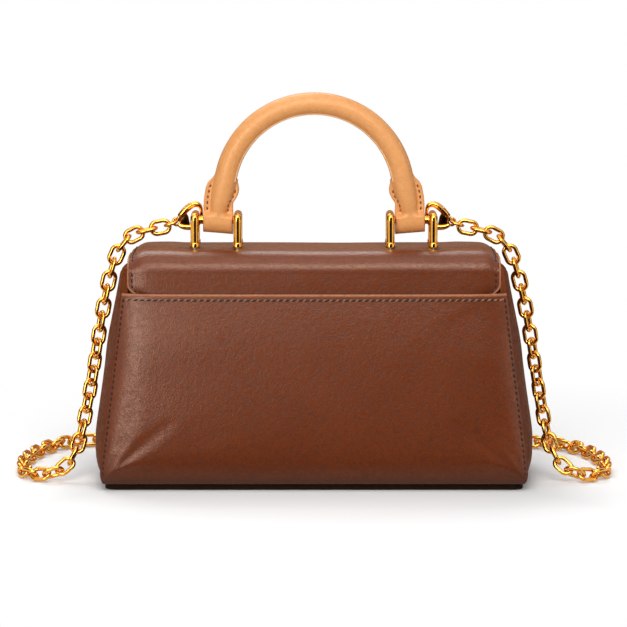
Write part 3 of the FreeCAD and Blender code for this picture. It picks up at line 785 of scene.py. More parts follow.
def hook_rod(name, rows):
    """A rod in the hook's plane whose radius changes along its line."""
    return rod(name, [(x, HOOK_Y, z) for x, z, r in rows], 1.0, radii=[r for x, z, r in rows], sides=4)


def plate(name, outline, thickness):
    """A flat plate in the hook's plane with soft edges."""
    start()
    bpy.ops.mesh.primitive_circle_add(vertices=len(outline), fill_type="NGON")
    obj = bpy.context.object
    for vertex, (x, z) in zip(obj.data.vertices, outline):
        vertex.co = Vector((x, HOOK_Y + thickness / 2, z)) * MM
    modify(obj, "SOLIDIFY", thickness=thickness * MM, offset=0)
    modify(obj, "BEVEL", width=WEB_BEVEL * MM, segments=2)
    outwards(obj)
    return settle(obj, name)


# %% Hooks and gates
start()
bpy.ops.mesh.primitive_torus_add(location=HOOK_TAIL, rotation=(math.pi / 2, 0, 0),
                                 major_radius=EYE_RADIUS * MM, minor_radius=EYE_WIRE * MM,
                                 major_segments=24, minor_segments=8)
eye = bpy.context.object
claw, root, web = hook_rod("claw", CLAW), hook_rod("root", ROOT), plate("web", WEB, WEB_THICKNESS)
# The web is a plate in near-black gold across the claw's hollow: painted shade where the hollow lies in
# shadow.
for piece, finish in ((claw, gold), (root, gold), (eye, gold), (web, painted_shade_gold)):
    piece.data.materials.append(finish)
right_hook = join([claw, root, eye, web], "right_hook_cast")
right_gate = settle(hook_rod("gate", GATE), "right_gate_cast")
finish_pair(right_hook, 50, "bag", "gold_metal", None, "{}_hook")
finish_pair(right_gate, 50, "{}_gate", "gold_metal", gold, "{}_gate")
print("hooks and gates are cast")

# %% [markdown]
# ## Leather panels
# A leather wall is a sheet with swell: held at its seams and full in the middle. Each panel
# starts as a grid and is put in place by its height and width; the pocket and the gussets then
# swell as cloth under a little pressure with their sewn edges held. Thickness and painted edges come last.

# %% Shape of the body, and sheets laid on it
BASE_HALF, TOP_HALF = 124.0, 107.0
BASE_BACK, TOP_BACK = 45.0, 29.0
FOOT_Z = 4.6
LEATHER = 2.2


def wall_y(z):
    """Half depth of the bag at height z, in millimetres."""
    return BASE_BACK - (BASE_BACK - TOP_BACK) * z / BODY_TOP


def side_x(z):
    """Half width of the front and back at height z, in millimetres."""
    return BASE_HALF - (BASE_HALF - TOP_HALF) * z / BODY_TOP


def foot_round(z, amount):
    """How far a panel's lower corner is rounded in at height z."""
    return amount * math.exp(-(z - FOOT_Z) / 3.4)


def panel_grid(name, columns, rows, place):
    """A grid primitive whose points go where place(u, v) says, in millimetres."""
    start()
    bpy.ops.mesh.primitive_grid_add(x_subdivisions=columns, y_subdivisions=rows, size=1)
    obj = bpy.context.object
    obj.name = obj.data.name = name
    for vertex in obj.data.vertices:
        vertex.co = Vector(place(vertex.co.x + 0.5, vertex.co.y + 0.5)) * MM
    return obj


def face_out(obj, direction):
    """Turn a sheet's faces so that most of them look along a direction."""
    total = sum(face.normal.dot(direction) * face.area for face in obj.data.polygons)
    if total < 0:
        edit(obj, (bpy.ops.mesh.flip_normals, {}))


# %% [markdown]
# ## Swelling and thickness
# What is inside a bag presses on its leather, and the seams hold it. Cloth under a little
# pressure does the same, and makes the small folds that run into sewn corners. The shift is
# capped so that the panel stays inside its room.


# %% Swell a sheet as cloth
def swell(obj, held, pressure, cap, frames=16):
    """Let a sheet swell as cloth with some points held, and keep the capped result."""
    rest = [v.co.copy() for v in obj.data.vertices]
    sewn = obj.vertex_groups.new(name="sewn")
    sewn.add([v.index for v in obj.data.vertices if held(v.co / MM)], 1.0, "REPLACE")
    cloth = obj.modifiers.new("swell", "CLOTH")
    values = cloth.settings
    values.vertex_group_mass = "sewn"
    values.quality = 6
    values.mass = 0.3
    values.tension_stiffness = values.compression_stiffness = 30
    values.shear_stiffness = 20
    values.bending_stiffness = 6
    values.use_pressure = True
    values.uniform_pressure_force = pressure
    values.effector_weights.gravity = 0
    cloth.collision_settings.use_collision = False
    for number in range(1, frames + 1):
        scene.frame_set(number)
    bent = obj.evaluated_get(bpy.context.evaluated_depsgraph_get())
    moved = [v.co.copy() for v in bent.data.vertices]
    obj.modifiers.remove(cloth)
    obj.vertex_groups.clear()
    most = 0.0
    for vertex, before, after in zip(obj.data.vertices, rest, moved):
        shift = after - before
        if shift.length > cap * MM:
            shift = shift.normalized() * cap * MM
        vertex.co = before + shift
        most = max(most, shift.length)
    scene.frame_set(1)
    print(obj.name, "swelled by up to", round(most * 1000, 2), "mm")


# %% Thickness and painted edges
def thicken(obj, thickness, bevel=0.5):
    """Give a sheet its thickness inwards and a rounded edge."""
    modify(obj, "SOLIDIFY", thickness=thickness * MM, offset=-1, use_even_offset=True, material_offset_rim=1)
    modify(obj, "BEVEL", width=bevel * MM, segments=2, limit_method="ANGLE", angle_limit=math.radians(55))
    smooth(obj, 45)


def dress(obj, skin, edge):
    """Leather on the faces and edge paint on the rim."""
    obj.data.materials.append(skin)
    obj.data.materials.append(edge)


# %% Helpers that read a finished surface
def surface(obj):
    """A tree for rays against a finished piece."""
    return BVHTree.FromObject(obj, bpy.context.evaluated_depsgraph_get())


def drop_on(tree, places, direction, reach=60):
    """Points and normals where rays along a direction meet a piece."""
    row = []
    aim = Vector(direction).normalized()
    for place in places:
        hit, normal, _, _ = tree.ray_cast(Vector(place) * MM - aim * reach * MM, aim)
        if hit:
            row.append((hit, normal if normal.dot(aim) < 0 else -normal))
    return row


# %% [markdown]
# ## The slip pocket on the back
# The pocket is a soft panel sewn down its sides and base. It rises steeply from the seams to
# a nearly flat middle, and where the side slope and the base slope meet there is a soft
# mitred fold that runs up from each lower corner.

# %% Shape of the slip pocket
MOUTH_Z = 111.8
POCKET_ROUND = 2.8
TURNED_UNDER = 0.06
TURN_DROP, TURN_INSET, TURN_DEPTH = 1.1, 2.0, 5.0
SIDE_SLOPE = [(5.2, 7.5), (2.6, 38.0)]
BASE_SLOPE = [(5.4, 9.5), (2.2, 42.0)]
BASE_LIFT = 0.6
FLATTER_MOUTH = 0.34


def slope(rows, distance, lift=0.0):
    """Rise at a distance from a seam; each row is a rise and the reach over which it comes."""
    return sum((rise * (1 - math.exp(-distance / reach)) for rise, reach in rows), lift)


def pocket_rise(x, z):
    """How far the pocket stands out from the plane of its seams."""
    from_side = max(side_x(z) - abs(x), 0.0)
    from_base = max(z - FOOT_Z, 0.0)
    from_seam = min(from_side, from_base)
    side_slope = slope(SIDE_SLOPE, from_side) * (1 - FLATTER_MOUTH * ease(z, 72, MOUTH_Z))
    base_slope = slope(BASE_SLOPE, from_base, BASE_LIFT)
    softness = 0.3 + 0.9 * ease(from_seam, 5, 30)
    rise = -softness * math.log(math.exp(-side_slope / softness) + math.exp(-base_slope / softness))
    waves = 0.16 * noise.noise(Vector((x / 38, z / 30, 3.1)))
    waves += 0.05 * noise.noise(Vector((x / 13, z / 11, 7.7)))
    return max(rise, 0.0) + waves * ease(from_seam, 3, 14) * (1 - 0.6 * ease(z, 94, 109))


def pocket_place(u, v):
    """A point of the pocket; its lowest rows turn under the foot."""
    if v < TURNED_UNDER:
        share = v / TURNED_UNDER
        z = FOOT_Z - TURN_DROP * math.sin(math.pi / 2 * (1 - share))
        half = side_x(FOOT_Z) - POCKET_ROUND - TURN_INSET * (1 - share)
        x = (2 * u - 1) * half
        return x, -wall_y(FOOT_Z) - pocket_rise(x, FOOT_Z) + TURN_DEPTH * (1 - share) ** 1.5, z
    share = (v - TURNED_UNDER) / (1 - TURNED_UNDER)
    z = FOOT_Z + (MOUTH_Z - FOOT_Z) * (0.35 * share + 0.65 * share * share * (1.6 - 0.6 * share))
    half = side_x(z) - foot_round(z, POCKET_ROUND)
    s = 2 * u - 1
    x = half * math.copysign(1 - (1 - abs(s)) ** 1.25, s)
    return x, -wall_y(z) - pocket_rise(x, z), z


def pocket_held(p):
    """Whether a point is sewn down or on the mouth's edge."""
    return p.z < FOOT_Z + 1.9 or p.z > MOUTH_Z - 3 or side_x(p.z) - abs(p.x) < 2.0


# %% Slip pocket
pocket = panel_grid("pocket_leather", 150, 84, pocket_place)
face_out(pocket, Vector((0, -1, 0)))
swell(pocket, pocket_held, 1.6, 1.6)
dress(pocket, brown, brown_edge)
thicken(pocket, LEATHER)
# Painted shade at the pocket's foot: the colour darkens towards the base, where the leather turns under into
# shade.
painted_foot_shade = pocket.data.attributes.new("painted_foot_shade", "FLOAT", "POINT")
for vertex in pocket.data.vertices:
    painted_foot_shade.data[vertex.index].value = 0.75 * (1 - ease(vertex.co.z / MM, 2.0, 26.0)) ** 1.5
finish_piece(pocket, "bag", "brown_leather", None, "pocket_panel")
print("pocket", len(pocket.data.polygons), "faces")

# %% [markdown]
# ## The pocket's mouth
# The cut edge of the mouth is polished round, in a lighter brown that is partly edge paint and partly
# a painted highlight. It is a thin rod that follows the finished panel, so it keeps to every swell of the
# leather.

# %% Painted edge of the pocket's mouth, partly a painted highlight
LIP_HALF, LIP_RADIUS = 109.3, 0.95
LIP_SET_IN, LIP_SET_DOWN, LIP_READ_DOWN = 0.75, 0.35, 1.2

pocket_tree = surface(pocket)
mouth_places = [(x, -50, MOUTH_Z - LIP_READ_DOWN) for x in steps(-LIP_HALF, LIP_HALF, 60)]
mouth_row = drop_on(pocket_tree, mouth_places, (0, 1, 0))
lip_line = [(p.x / MM, p.y / MM + LIP_SET_IN, MOUTH_Z - LIP_SET_DOWN) for p, n in mouth_row]
lip_edge = settle(rod("pocket_lip_edge", lip_line, LIP_RADIUS, sides=2), "pocket_lip_edge")
smooth(lip_edge, 60)
finish_piece(lip_edge, "bag", "brown_leather", lip_paint_and_highlight)
print("lip edge over", len(lip_line), "points")

# %% [markdown]
# ## The flap leather
# One long piece of leather comes up out of the pocket, turns over the top and falls down the
# front. It is padded inside its stitched edge. It crosses the flap's hinge as a single sheet.

# %% Profile and width of the flap
FLAP_HALF = 106.2
FLAP_END_Z = 42.0
FLAP_CORNER = 24.0
EDGE_RADIUS = 12.0
EDGE_Z = BODY_TOP - EDGE_RADIUS
FALL_END_Z = 103.8
FALL_SET_BACK = 2.4
FALL_TAPER, FALL_TAPER_Z, FALL_TAPER_RUN = 5.0, 117.0, 6.0
FLAP_LEATHER = 2.2


def flap_profile():
    """Outer line of the flap leather in the YZ plane, from the pocket over the top to the front."""
    back_y, front_y = -(wall_y(EDGE_Z) - FALL_SET_BACK), wall_y(EDGE_Z)
    radius = EDGE_RADIUS
    turns = [math.pi / 2 * i / 16 for i in range(1, 16)]
    line = [(-(wall_y(z) - FALL_SET_BACK), z) for z in steps(FALL_END_Z, EDGE_Z, 23)]
    line += [(back_y + radius - radius * math.cos(t), EDGE_Z + radius * math.sin(t)) for t in turns]
    line += [(y, BODY_TOP) for y in steps(back_y + radius, front_y - radius, 27)]
    line += [(front_y - radius + radius * math.sin(t), EDGE_Z + radius * math.cos(t)) for t in turns]
    line += [(wall_y(z), z) for z in steps(EDGE_Z, FLAP_END_Z, 60)]
    return line


FLAP_LINE = flap_profile()


def flap_half(y, z):
    """Half width of the flap leather at a point of its profile."""
    if y > 0 and z < FLAP_END_Z + FLAP_CORNER:
        drop = FLAP_CORNER - (z - FLAP_END_Z)
        return FLAP_HALF - FLAP_CORNER + math.sqrt(max(FLAP_CORNER ** 2 - drop ** 2, 0.0))
    if y < 0 and z < FALL_TAPER_Z:
        return FLAP_HALF - FALL_TAPER * min((FALL_TAPER_Z - z) / FALL_TAPER_RUN, 1.0) ** 2
    return FLAP_HALF


# %% Padding and dents of the flap
PAD_INSET, PAD_LIFT, PAD_REACH = 3.0, 1.25, 4.0
END_FULLNESS, TOP_SINK = 0.35, 1.0
CORNER_FALL, CORNER_START, CORNER_RUN = 3.4, 97.0, 9.2
DENT_DEPTH, DENT_REACH = 1.35, 5.5


def flap_pad(x, y, z):
    """How far the padding lifts the leather inside its stitched edge."""
    inside = flap_half(y, z) - abs(x) - PAD_INSET
    if y > 0:
        inside = min(inside, (z - FLAP_END_Z) - PAD_INSET)
    lift = slope([(PAD_LIFT, PAD_REACH)], max(inside, 0.0))
    waves = 0.22 * noise.noise(Vector((x / 30, y / 18, z / 18)))
    return lift + waves * ease(inside, 0, 8)


def flap_top(x, y):
    """Rise and fall of the top: full ends, rounded corners and dents round the bracket's feet."""
    side = abs(x)
    corner_share = max((side - CORNER_START) / CORNER_RUN, 0.0)
    rise = END_FULLNESS * ease(side, 74, 84) - TOP_SINK - CORNER_FALL * corner_share ** 2
    for post in POST_X:
        for foot in (-POST_HALF_SPREAD, POST_HALF_SPREAD):
            away = math.hypot(side - post, y - foot)
            rise -= DENT_DEPTH * math.exp(-((away / DENT_REACH) ** 2))
    return rise


def flap_place(u, v):
    """A point of the flap leather: across its width and along its profile."""
    at = v * (len(FLAP_LINE) - 1)
    i = min(int(at), len(FLAP_LINE) - 2)
    (y0, z0), (y1, z1) = FLAP_LINE[i], FLAP_LINE[i + 1]
    y, z = y0 + (y1 - y0) * (at - i), z0 + (z1 - z0) * (at - i)
    run = Vector((y1 - y0, z1 - z0)).normalized()
    out = Vector((-run.y, run.x))
    half = flap_half(y, z)
    s = 2 * u - 1
    x = half * math.copysign(1 - (1 - abs(s)) ** 1.3, s)
    lift = flap_pad(x, y, z) - 0.25
    top_share = ease(z, BODY_TOP - EDGE_RADIUS - 2, BODY_TOP - 1)
    spot = Vector((y, z)) + out * lift
    return x, spot.x, spot.y + flap_top(x, y) * top_share


# %% Flap leather
flap = panel_grid("flap_leather", 130, 150, flap_place)
face_out(flap, Vector((0, 0, 1)))
dress(flap, brown, brown_edge)
thicken(flap, FLAP_LEATHER)
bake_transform(flap)
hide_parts("top_panel", "flap_front")
print("flap leather", len(flap.data.polygons), "faces")

# %% [markdown]
# ## Gussets
# A gusset is the side panel that lets a bag open. It swells outwards, has a soft crease down
# its middle and rounds in at the foot. One is shaped and swelled, and the other is its twin.

# %% Gussets
GUSSET_TOP_Z = 126.0
GUSSET_SWELL = [(0.0, 4.0), (30.0, 7.0), (74.0, 6.4), (GUSSET_TOP_Z, 3.8)]
BACK_SEAM, FRONT_SEAM = 4.8, 5.4
CREASE_DEPTH, CREASE_SHARE = 1.3, 0.13
TUCK_DEPTH, TUCK_TOP_Z, TUCK_HEIGHT = 4.4, 16.0, 11.0
SHOULDER_DROP, SHOULDER_HEIGHT = 5.5, 5.5


def gusset_place(u, v):
    """A point of the right gusset, from its back seam to its front seam."""
    z = FOOT_Z + (GUSSET_TOP_Z - FOOT_Z) * v
    y = (BACK_SEAM - wall_y(z)) * (1 - u) + (wall_y(z) - FRONT_SEAM) * u
    s = abs(2 * u - 1)
    rise = table_value(GUSSET_SWELL, z, eased=True) * (1 - s ** 2.4)
    crease = CREASE_DEPTH * math.exp(-((2 * u - 1) / CREASE_SHARE) ** 2) * ease(z, 40, 112)
    tuck = TUCK_DEPTH * max((TUCK_TOP_Z - z) / TUCK_HEIGHT, 0.0) ** 2 * (1 - 0.6 * s ** 6)
    shoulder = SHOULDER_DROP * max((z - GUSSET_TOP_Z) / SHOULDER_HEIGHT + 1, 0.0) ** 2
    waves = 0.35 * noise.noise(Vector((y / 16, z / 22, 1.7))) * (1 - s ** 4)
    return side_x(z) - 0.2 + rise - crease - tuck - shoulder + waves, y, z


right_gusset = panel_grid("right_gusset_leather", 44, 84, gusset_place)
face_out(right_gusset, Vector((1, 0, 0)))


def gusset_held(p):
    """Whether a point is in a seam."""
    return (p.z < 5 or p.z > GUSSET_TOP_Z - 4 or p.y < BACK_SEAM - wall_y(p.z) + 1.5
            or p.y > wall_y(p.z) - FRONT_SEAM - 1.5)


swell(right_gusset, gusset_held, 1.2, 0.9)
dress(right_gusset, brown_side, brown_edge)
thicken(right_gusset, LEATHER)
finish_pair(right_gusset, 45, "bag", "brown_leather", None, "{}_gusset")
print("gussets", len(right_gusset.data.polygons), "faces each")

# %% [markdown]
# ## Binding strips
# Where the flap leaves the gusset's upper edges bare, a folded strip of the same leather
# binds them, as a maker would to hide the cut edge. Each fold is a short table of distance
# from the middle and depth under the wall's plane.

# %% Binding strips at the gusset's edges, beside the flap
BIND_FOOT_Z, LIP_Z = 103.8, 101.7
BIND_LEATHER, BIND_BEVEL = 0.8, 0.2


def along_fold(fold, u):
    """A point at share u along a folded strip."""
    at = u * (len(fold) - 1)
    i = min(int(at), len(fold) - 2)
    (x0, d0), (x1, d1) = fold[i], fold[i + 1]
    return x0 + (x1 - x0) * (at - i), d0 + (d1 - d0) * (at - i)


def back_bind_place(u, v):
    """A point of the strip behind the flap's fall."""
    z = BIND_FOOT_Z + (GUSSET_TOP_Z - BIND_FOOT_Z) * v
    edge = side_x(z)
    x, depth = along_fold([(99.5, 5.0), (105.6, 5.0), (FLAP_HALF + 0.1, 4.5), (FLAP_HALF + 0.15, 2.3),
                           (edge, 1.7), (edge + 0.8, 2.6)], u)
    return x, -(wall_y(z) - depth), z


def front_bind_place(u, v):
    """A point of the strip under the flap at the front."""
    z = LIP_Z - 1.0 + (GUSSET_TOP_Z - 1.5 - LIP_Z) * v
    edge = side_x(z)
    x, depth = along_fold([(edge - 6.5, 4.2), (edge - 5.5, 3.3), (edge - 0.6, 3.1), (edge + 0.6, 3.6),
                           (edge + 1.0, 6.5)], u)
    return x, wall_y(z) - depth, z


for where, place, facing in (("back", back_bind_place, -1), ("front", front_bind_place, 1)):
    bind = panel_grid("right_" + where + "_binding", 20, 24, place)
    face_out(bind, Vector((0, facing, 0)))
    dress(bind, brown_side, brown_edge)
    thicken(bind, BIND_LEATHER, bevel=BIND_BEVEL)
    finish_pair(bind, 45, "bag", "brown_leather", None)
print("binding strips are folded")

# %% [markdown]
# ## Walls
# The front wall is nearly flat under the flap and fuller below it. The back wall hides behind
# the pocket. Both are the same leather on a stiff board, and their lower corners are rounded.

# %% Front wall and back wall
FRONT_OUT, BACK_OUT, BACK_TOP_Z = 3.0, 2.4, 103.2
FRONT_ROUND, BACK_ROUND = 3.0, 2.4
FRONT_FULLNESS, FULL_REACH = 0.7, 6.0


def front_place(u, v):
    """A point of the front wall."""
    z = FOOT_Z + (LIP_Z - FOOT_Z) * v
    half = side_x(z) - foot_round(z, FRONT_ROUND)
    x = (2 * u - 1) * half
    inside = min(half - abs(x), z - FOOT_Z)
    full = slope([(FRONT_FULLNESS, FULL_REACH)], max(inside, 0.0)) * (1 - ease(z, 26, 44))
    return x, wall_y(z) - FRONT_OUT + full, z


def back_place(u, v):
    """A point of the back wall."""
    z = FOOT_Z + (BACK_TOP_Z - FOOT_Z) * v
    return (2 * u - 1) * (side_x(z) - foot_round(z, BACK_ROUND)), -(wall_y(z) - BACK_OUT), z


front_wall = panel_grid("front_leather", 90, 60, front_place)
face_out(front_wall, Vector((0, 1, 0)))
back_wall = panel_grid("back_leather", 60, 40, back_place)
face_out(back_wall, Vector((0, -1, 0)))
for wall, node in ((front_wall, "front_panel"), (back_wall, "back_panel")):
    dress(wall, brown, brown_edge)
    thicken(wall, LEATHER)
    finish_piece(wall, "bag", "brown_leather", None, node)
print("walls are cut")

# %% [markdown]
# ## Base
# The base is a near-black slab, its colour partly dark edge paint and partly painted shade, set in
# a little from the walls so that the bag stands on a shadow line. Its upright corners get a wide round and
# its rims a small one.

# %% Base
BASE_CORNER, BASE_RIM = 6.0, 0.7

low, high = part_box("base_panel")
start()
bpy.ops.mesh.primitive_cube_add(size=1, location=[(a + b) / 2 for a, b in zip(low, high)])
base = bpy.context.object
base.scale = [b - a for a, b in zip(low, high)]
base = settle(base, "base_leather")
weights = base.data.attributes.new("bevel_weight_edge", "FLOAT", "EDGE")
for edge in base.data.edges:
    a, b = (base.data.vertices[i].co for i in edge.vertices)
    weights.data[edge.index].value = 1.0 if abs(a.z - b.z) > 0.001 else 0.0
modify(base, "BEVEL", width=BASE_CORNER * MM, segments=6, limit_method="WEIGHT")
modify(base, "BEVEL", width=BASE_RIM * MM, segments=3, limit_method="ANGLE", angle_limit=math.radians(50))
smooth(base)
finish_piece(base, "bag", "brown_leather", base_paint_and_painted_shade, "base_panel")
print("base", len(base.data.polygons), "faces")

# %% [markdown]
# ## Lining
# A fabric lining is sewn as a loose bag and dropped inside, with rounded corners and a lower
# front. It is a ring of points round the inside at each height, closed at the foot.

# %% Shape of the lining
LINING_FOOT, LINING_TOP, LINING_CORNER = 7.0, 119.7, 5.0
LINING_SIDE, LINING_BACK, LINING_FRONT = 2.6, 6.2, 6.8
LINING_CLOSING, LINING_FRONT_DROP, LINING_CLOTH = 0.2, 18.0, 0.7


def ring_point(t, half_x, low_y, high_y, radius):
    """A point at share t round a rectangle with rounded corners, walked side by side."""
    width, depth, arc = 2 * (half_x - radius), high_y - low_y - 2 * radius, math.pi / 2 * radius
    at = (t % 1.0) * 2 * (width + depth + 2 * arc)
    place, heading = Vector((radius - half_x, low_y)), 0.0
    for straight in (width, depth, width, depth):
        run = Vector((math.cos(heading), math.sin(heading)))
        if at <= straight:
            break
        centre = place + run * straight + Vector((-run.y, run.x)) * radius
        turn = heading - math.pi / 2 + min(at - straight, arc) / radius
        place = centre + Vector((math.cos(turn), math.sin(turn))) * radius
        if at <= straight + arc:
            return place
        at -= straight + arc
        heading += math.pi / 2
    return place + run * at


def lining_place(u, v):
    """A point of the lining: round the inside at a height, or on its closed foot."""
    share = max((v - LINING_CLOSING) / (1 - LINING_CLOSING), 0.0)
    z = LINING_FOOT + (LINING_TOP - LINING_FOOT) * share
    half = side_x(z) - LINING_SIDE
    x, y = ring_point(u, half, LINING_BACK - wall_y(z), wall_y(z) - LINING_FRONT, LINING_CORNER)
    front = ease(y, 8, 20) if abs(x) < half - 1.5 else 0.0
    z = LINING_FOOT + (LINING_TOP - LINING_FRONT_DROP * front - LINING_FOOT) * share
    wave = 0.5 * noise.noise(Vector((x / 22, y / 14, z / 26))) * share
    if v < LINING_CLOSING:
        pull = v / LINING_CLOSING
        y = y * pull
        x = x * (0.86 + 0.14 * pull)
    return x * (1 - 0.004 * abs(wave)), y - math.copysign(abs(wave), y) * 0.5, z


# %% Lining
lining = panel_grid("lining_cloth_bag", 160, 44, lining_place)
outwards(lining)
modify(lining, "SOLIDIFY", thickness=LINING_CLOTH * MM, offset=-1)
smooth(lining, 50)
finish_piece(lining, "bag", "lining_fabric", lining_cloth, "lining")
print("lining", len(lining.data.polygons), "faces")

# %% [markdown]
# ## The rolled handle
# Tan leather is wrapped round a cord and its two edges meet on the inside of the arch, where
# a slightly lower strip shows between two pale edge lines. The section is not quite round,
# so the tube is a grid of angle and length.

# %% Line and section of the handle
ARCH_RADIUS, ARCH_Z, LEG_SPLAY = 51.5, 166.3, math.radians(13)
HANDLE_RADIUS = 6.7
TAB_LENGTH = 26.0
SEAM_ANGLE, SEAM_DEPTH, SEAM_RIDGE = 34.0, 0.42, 0.2
PRESSED_LINE_ANGLE, PRESSED_LINE_DEPTH = 38.0, 0.14
LEG_TOP = Vector((ARCH_RADIUS * math.cos(LEG_SPLAY), 0, ARCH_Z + ARCH_RADIUS * math.sin(LEG_SPLAY)))
LEG_RUN = Vector((math.sin(LEG_SPLAY), 0, -math.cos(LEG_SPLAY)))
LEG_LENGTH = (LEG_TOP.z - BAR_Z) / math.cos(LEG_SPLAY)
TAB_START = LEG_TOP + LEG_RUN * (LEG_LENGTH - TAB_LENGTH)


def handle_line(share):
    """Centre of the handle and its outward direction, from the left tab over the arch to the right."""
    leg = LEG_LENGTH - TAB_LENGTH + 1.5
    sweep = math.pi - 2 * LEG_SPLAY
    total = 2 * leg + ARCH_RADIUS * sweep
    at = share * total
    if at < leg:
        point, mirror_x = LEG_TOP + LEG_RUN * (leg - at), -1
    elif at > total - leg:
        point, mirror_x = LEG_TOP + LEG_RUN * (at - total + leg), 1
    else:
        angle = math.pi - LEG_SPLAY - (at - leg) / ARCH_RADIUS
        out = Vector((math.cos(angle), 0, math.sin(angle)))
        return Vector((0, 0, ARCH_Z)) + out * ARCH_RADIUS, out
    out = Vector((math.cos(LEG_SPLAY), 0, math.sin(LEG_SPLAY)))
    return Vector((mirror_x * point.x, 0, point.z)), Vector((mirror_x * out.x, 0, out.z))


def handle_place(u, v):
    """A point of the handle's skin: round its section and along its length."""
    centre, out = handle_line(v)
    angle = 2 * math.pi * u
    inner = abs((u - 0.5) * 360)
    radius = HANDLE_RADIUS - SEAM_DEPTH * (1 - ease(inner, SEAM_ANGLE - 4, SEAM_ANGLE))
    radius += SEAM_RIDGE * math.exp(-((inner - SEAM_ANGLE - 3) / 4) ** 2)
    outer = min(u, 1 - u) * 360
    radius -= PRESSED_LINE_DEPTH * math.exp(-((outer - PRESSED_LINE_ANGLE) / 2.5) ** 2)
    return centre + out * (radius * math.cos(angle)) + Vector((0, radius * math.sin(angle), 0))


# %% Handle
handle = panel_grid("handle_leather", 120, 120, handle_place)
outwards(handle)
smooth(handle, 40)
finish_piece(handle, "handle", "tan_leather", tan, "handle_cover", "handle_core")
print("handle", len(handle.data.polygons), "faces")

# %% Pale edge lines inside the arch
EDGE_LINE_RADIUS = 0.42
seam_turn = math.radians(SEAM_ANGLE + 2)
inwards, sideways = HANDLE_RADIUS * math.cos(seam_turn), HANDLE_RADIUS * math.sin(seam_turn)

edge_lines = []
for side in (-1, 1):
    line = []
    for share in steps(0.0, 1.0, 61):
        centre, out = handle_line(share)
        line.append(centre - out * inwards + Vector((0, side * sideways, 0)))
    edge_lines.append(rod("edge", line, EDGE_LINE_RADIUS, sides=2))
handle_edges = join(edge_lines, "handle_edge_lines")
smooth(handle_edges, 60)
finish_piece(handle_edges, "handle", "tan_leather", tan_edge)
print("edge lines", len(handle_edges.data.polygons), "faces")

# %% [markdown]
# ## Handle tabs
# At each end the wrap opens into two stitched wings and closes to a strap that loops round
# the bar. Sections along the leg hold the round of the cord and the flat of the wings at
# once, and turn from the leg's slant to the bar's line.

# %% Shape of a handle tab
LOOP_CENTRE_Z = 150.3
LOOP_DEPTH = 4.9
WING_OUTER = [(0.0, 6.9), (2.0, 7.4), (5.0, 9.4), (8.0, 10.2), (13.0, 10.0), (18.0, 9.4), (22.0, 8.5),
              (26.0, 7.9), (40.0, 7.9)]
WING_INNER = [(0.0, 6.9), (2.0, 7.4), (5.0, 8.8), (8.0, 9.1), (11.0, 8.5), (14.6, 7.2), (18.0, 7.9),
              (22.0, 8.8), (26.0, 9.4), (40.0, 9.4)]
ROUND_TABLE = [(0.0, 6.75), (8.0, 6.6), (15.0, 6.0), (21.0, 4.9), (24.0, 4.6), (40.0, 4.6)]
WING_HALF_DEPTH, WING_ROLL, WING_BLEND = 1.45, 0.3, 0.25
TAB_END = 33.3
LOOP_DROP = 7.0
STRAP_TURN = math.radians(8.3)


def tab_centre(s):
    """Centre of a section at length s below the tab's start, and its slant."""
    turn = LEG_SPLAY - STRAP_TURN * ease(s, 6, 25)
    point = TAB_START + LEG_RUN * s
    if s > TAB_LENGTH:
        point = TAB_START + LEG_RUN * TAB_LENGTH + Vector((0, 0, TAB_LENGTH - s))
    return point - Vector((0.2 * ease(s, 12, 24), 0, 0)), turn


def tab_half(s, side):
    """Half width of the tab on one side; narrow near the bar, clear of the posts and the hook."""
    return table_value(WING_OUTER if side > 0 else WING_INNER, s)


def tab_depth(a, s):
    """Half depth of the tab at distance a from its middle."""
    half = tab_half(s, a)
    core = table_value(ROUND_TABLE, s)
    tube = math.sqrt(max(core * core - a * a, 0.0))
    flat = WING_HALF_DEPTH + WING_ROLL * math.exp(-((half - abs(a) - 0.9) / 0.5) ** 2)
    strap = ease(s, 20.5, 24.0)
    loop = LOOP_DEPTH
    centre_z = (TAB_START + LEG_RUN * TAB_LENGTH).z - (s - TAB_LENGTH)
    if s > TAB_LENGTH - 1:
        below = max(LOOP_CENTRE_Z - centre_z, 0.0) * LOOP_DEPTH / LOOP_DROP
        loop = math.sqrt(max(LOOP_DEPTH ** 2 - below ** 2, 0.04))
    wings = WING_BLEND * math.log(math.exp(tube / WING_BLEND) + math.exp(flat / WING_BLEND))
    edge = 1 - 0.3 * max((abs(a) - half + 0.8) / 0.8, 0.0) ** 2
    return (wings * (1 - strap) + loop * strap) * edge


def tab_place(u, v):
    """A point of the right tab: round its section and down its length."""
    s = TAB_END * v
    point, turn = tab_centre(s)
    t = 2 * abs(2 * (u % 1.0) - 1) - 1
    a = tab_half(s, t) * math.copysign(1 - (1 - abs(t)) ** 1.5, t)
    sign = 1 if u < 0.5 else -1
    across = Vector((math.cos(turn), 0, math.sin(turn)))
    return point + across * a + Vector((0, -sign * tab_depth(a, s), 0))


# %% Handle tabs
right_tab = panel_grid("right_tab_leather", 96, 72, tab_place)
outwards(right_tab)
left_tab = finish_pair(right_tab, 50, "handle", "tan_leather", tan, "{}_handle_tab")
print("tabs", len(right_tab.data.polygons), "faces each")

# %% [markdown]
# ## Stitches
# Thread is what makes leather look sewn, so each stitch is a real bead of thread laid on the
# surface. One stitch is shaped from a sphere and copied along seam lines that are read from
# the finished panels, so the thread follows every swell.

# %% Thread helpers
SUNK = 0.12
LOOK_AHEAD = 0.4


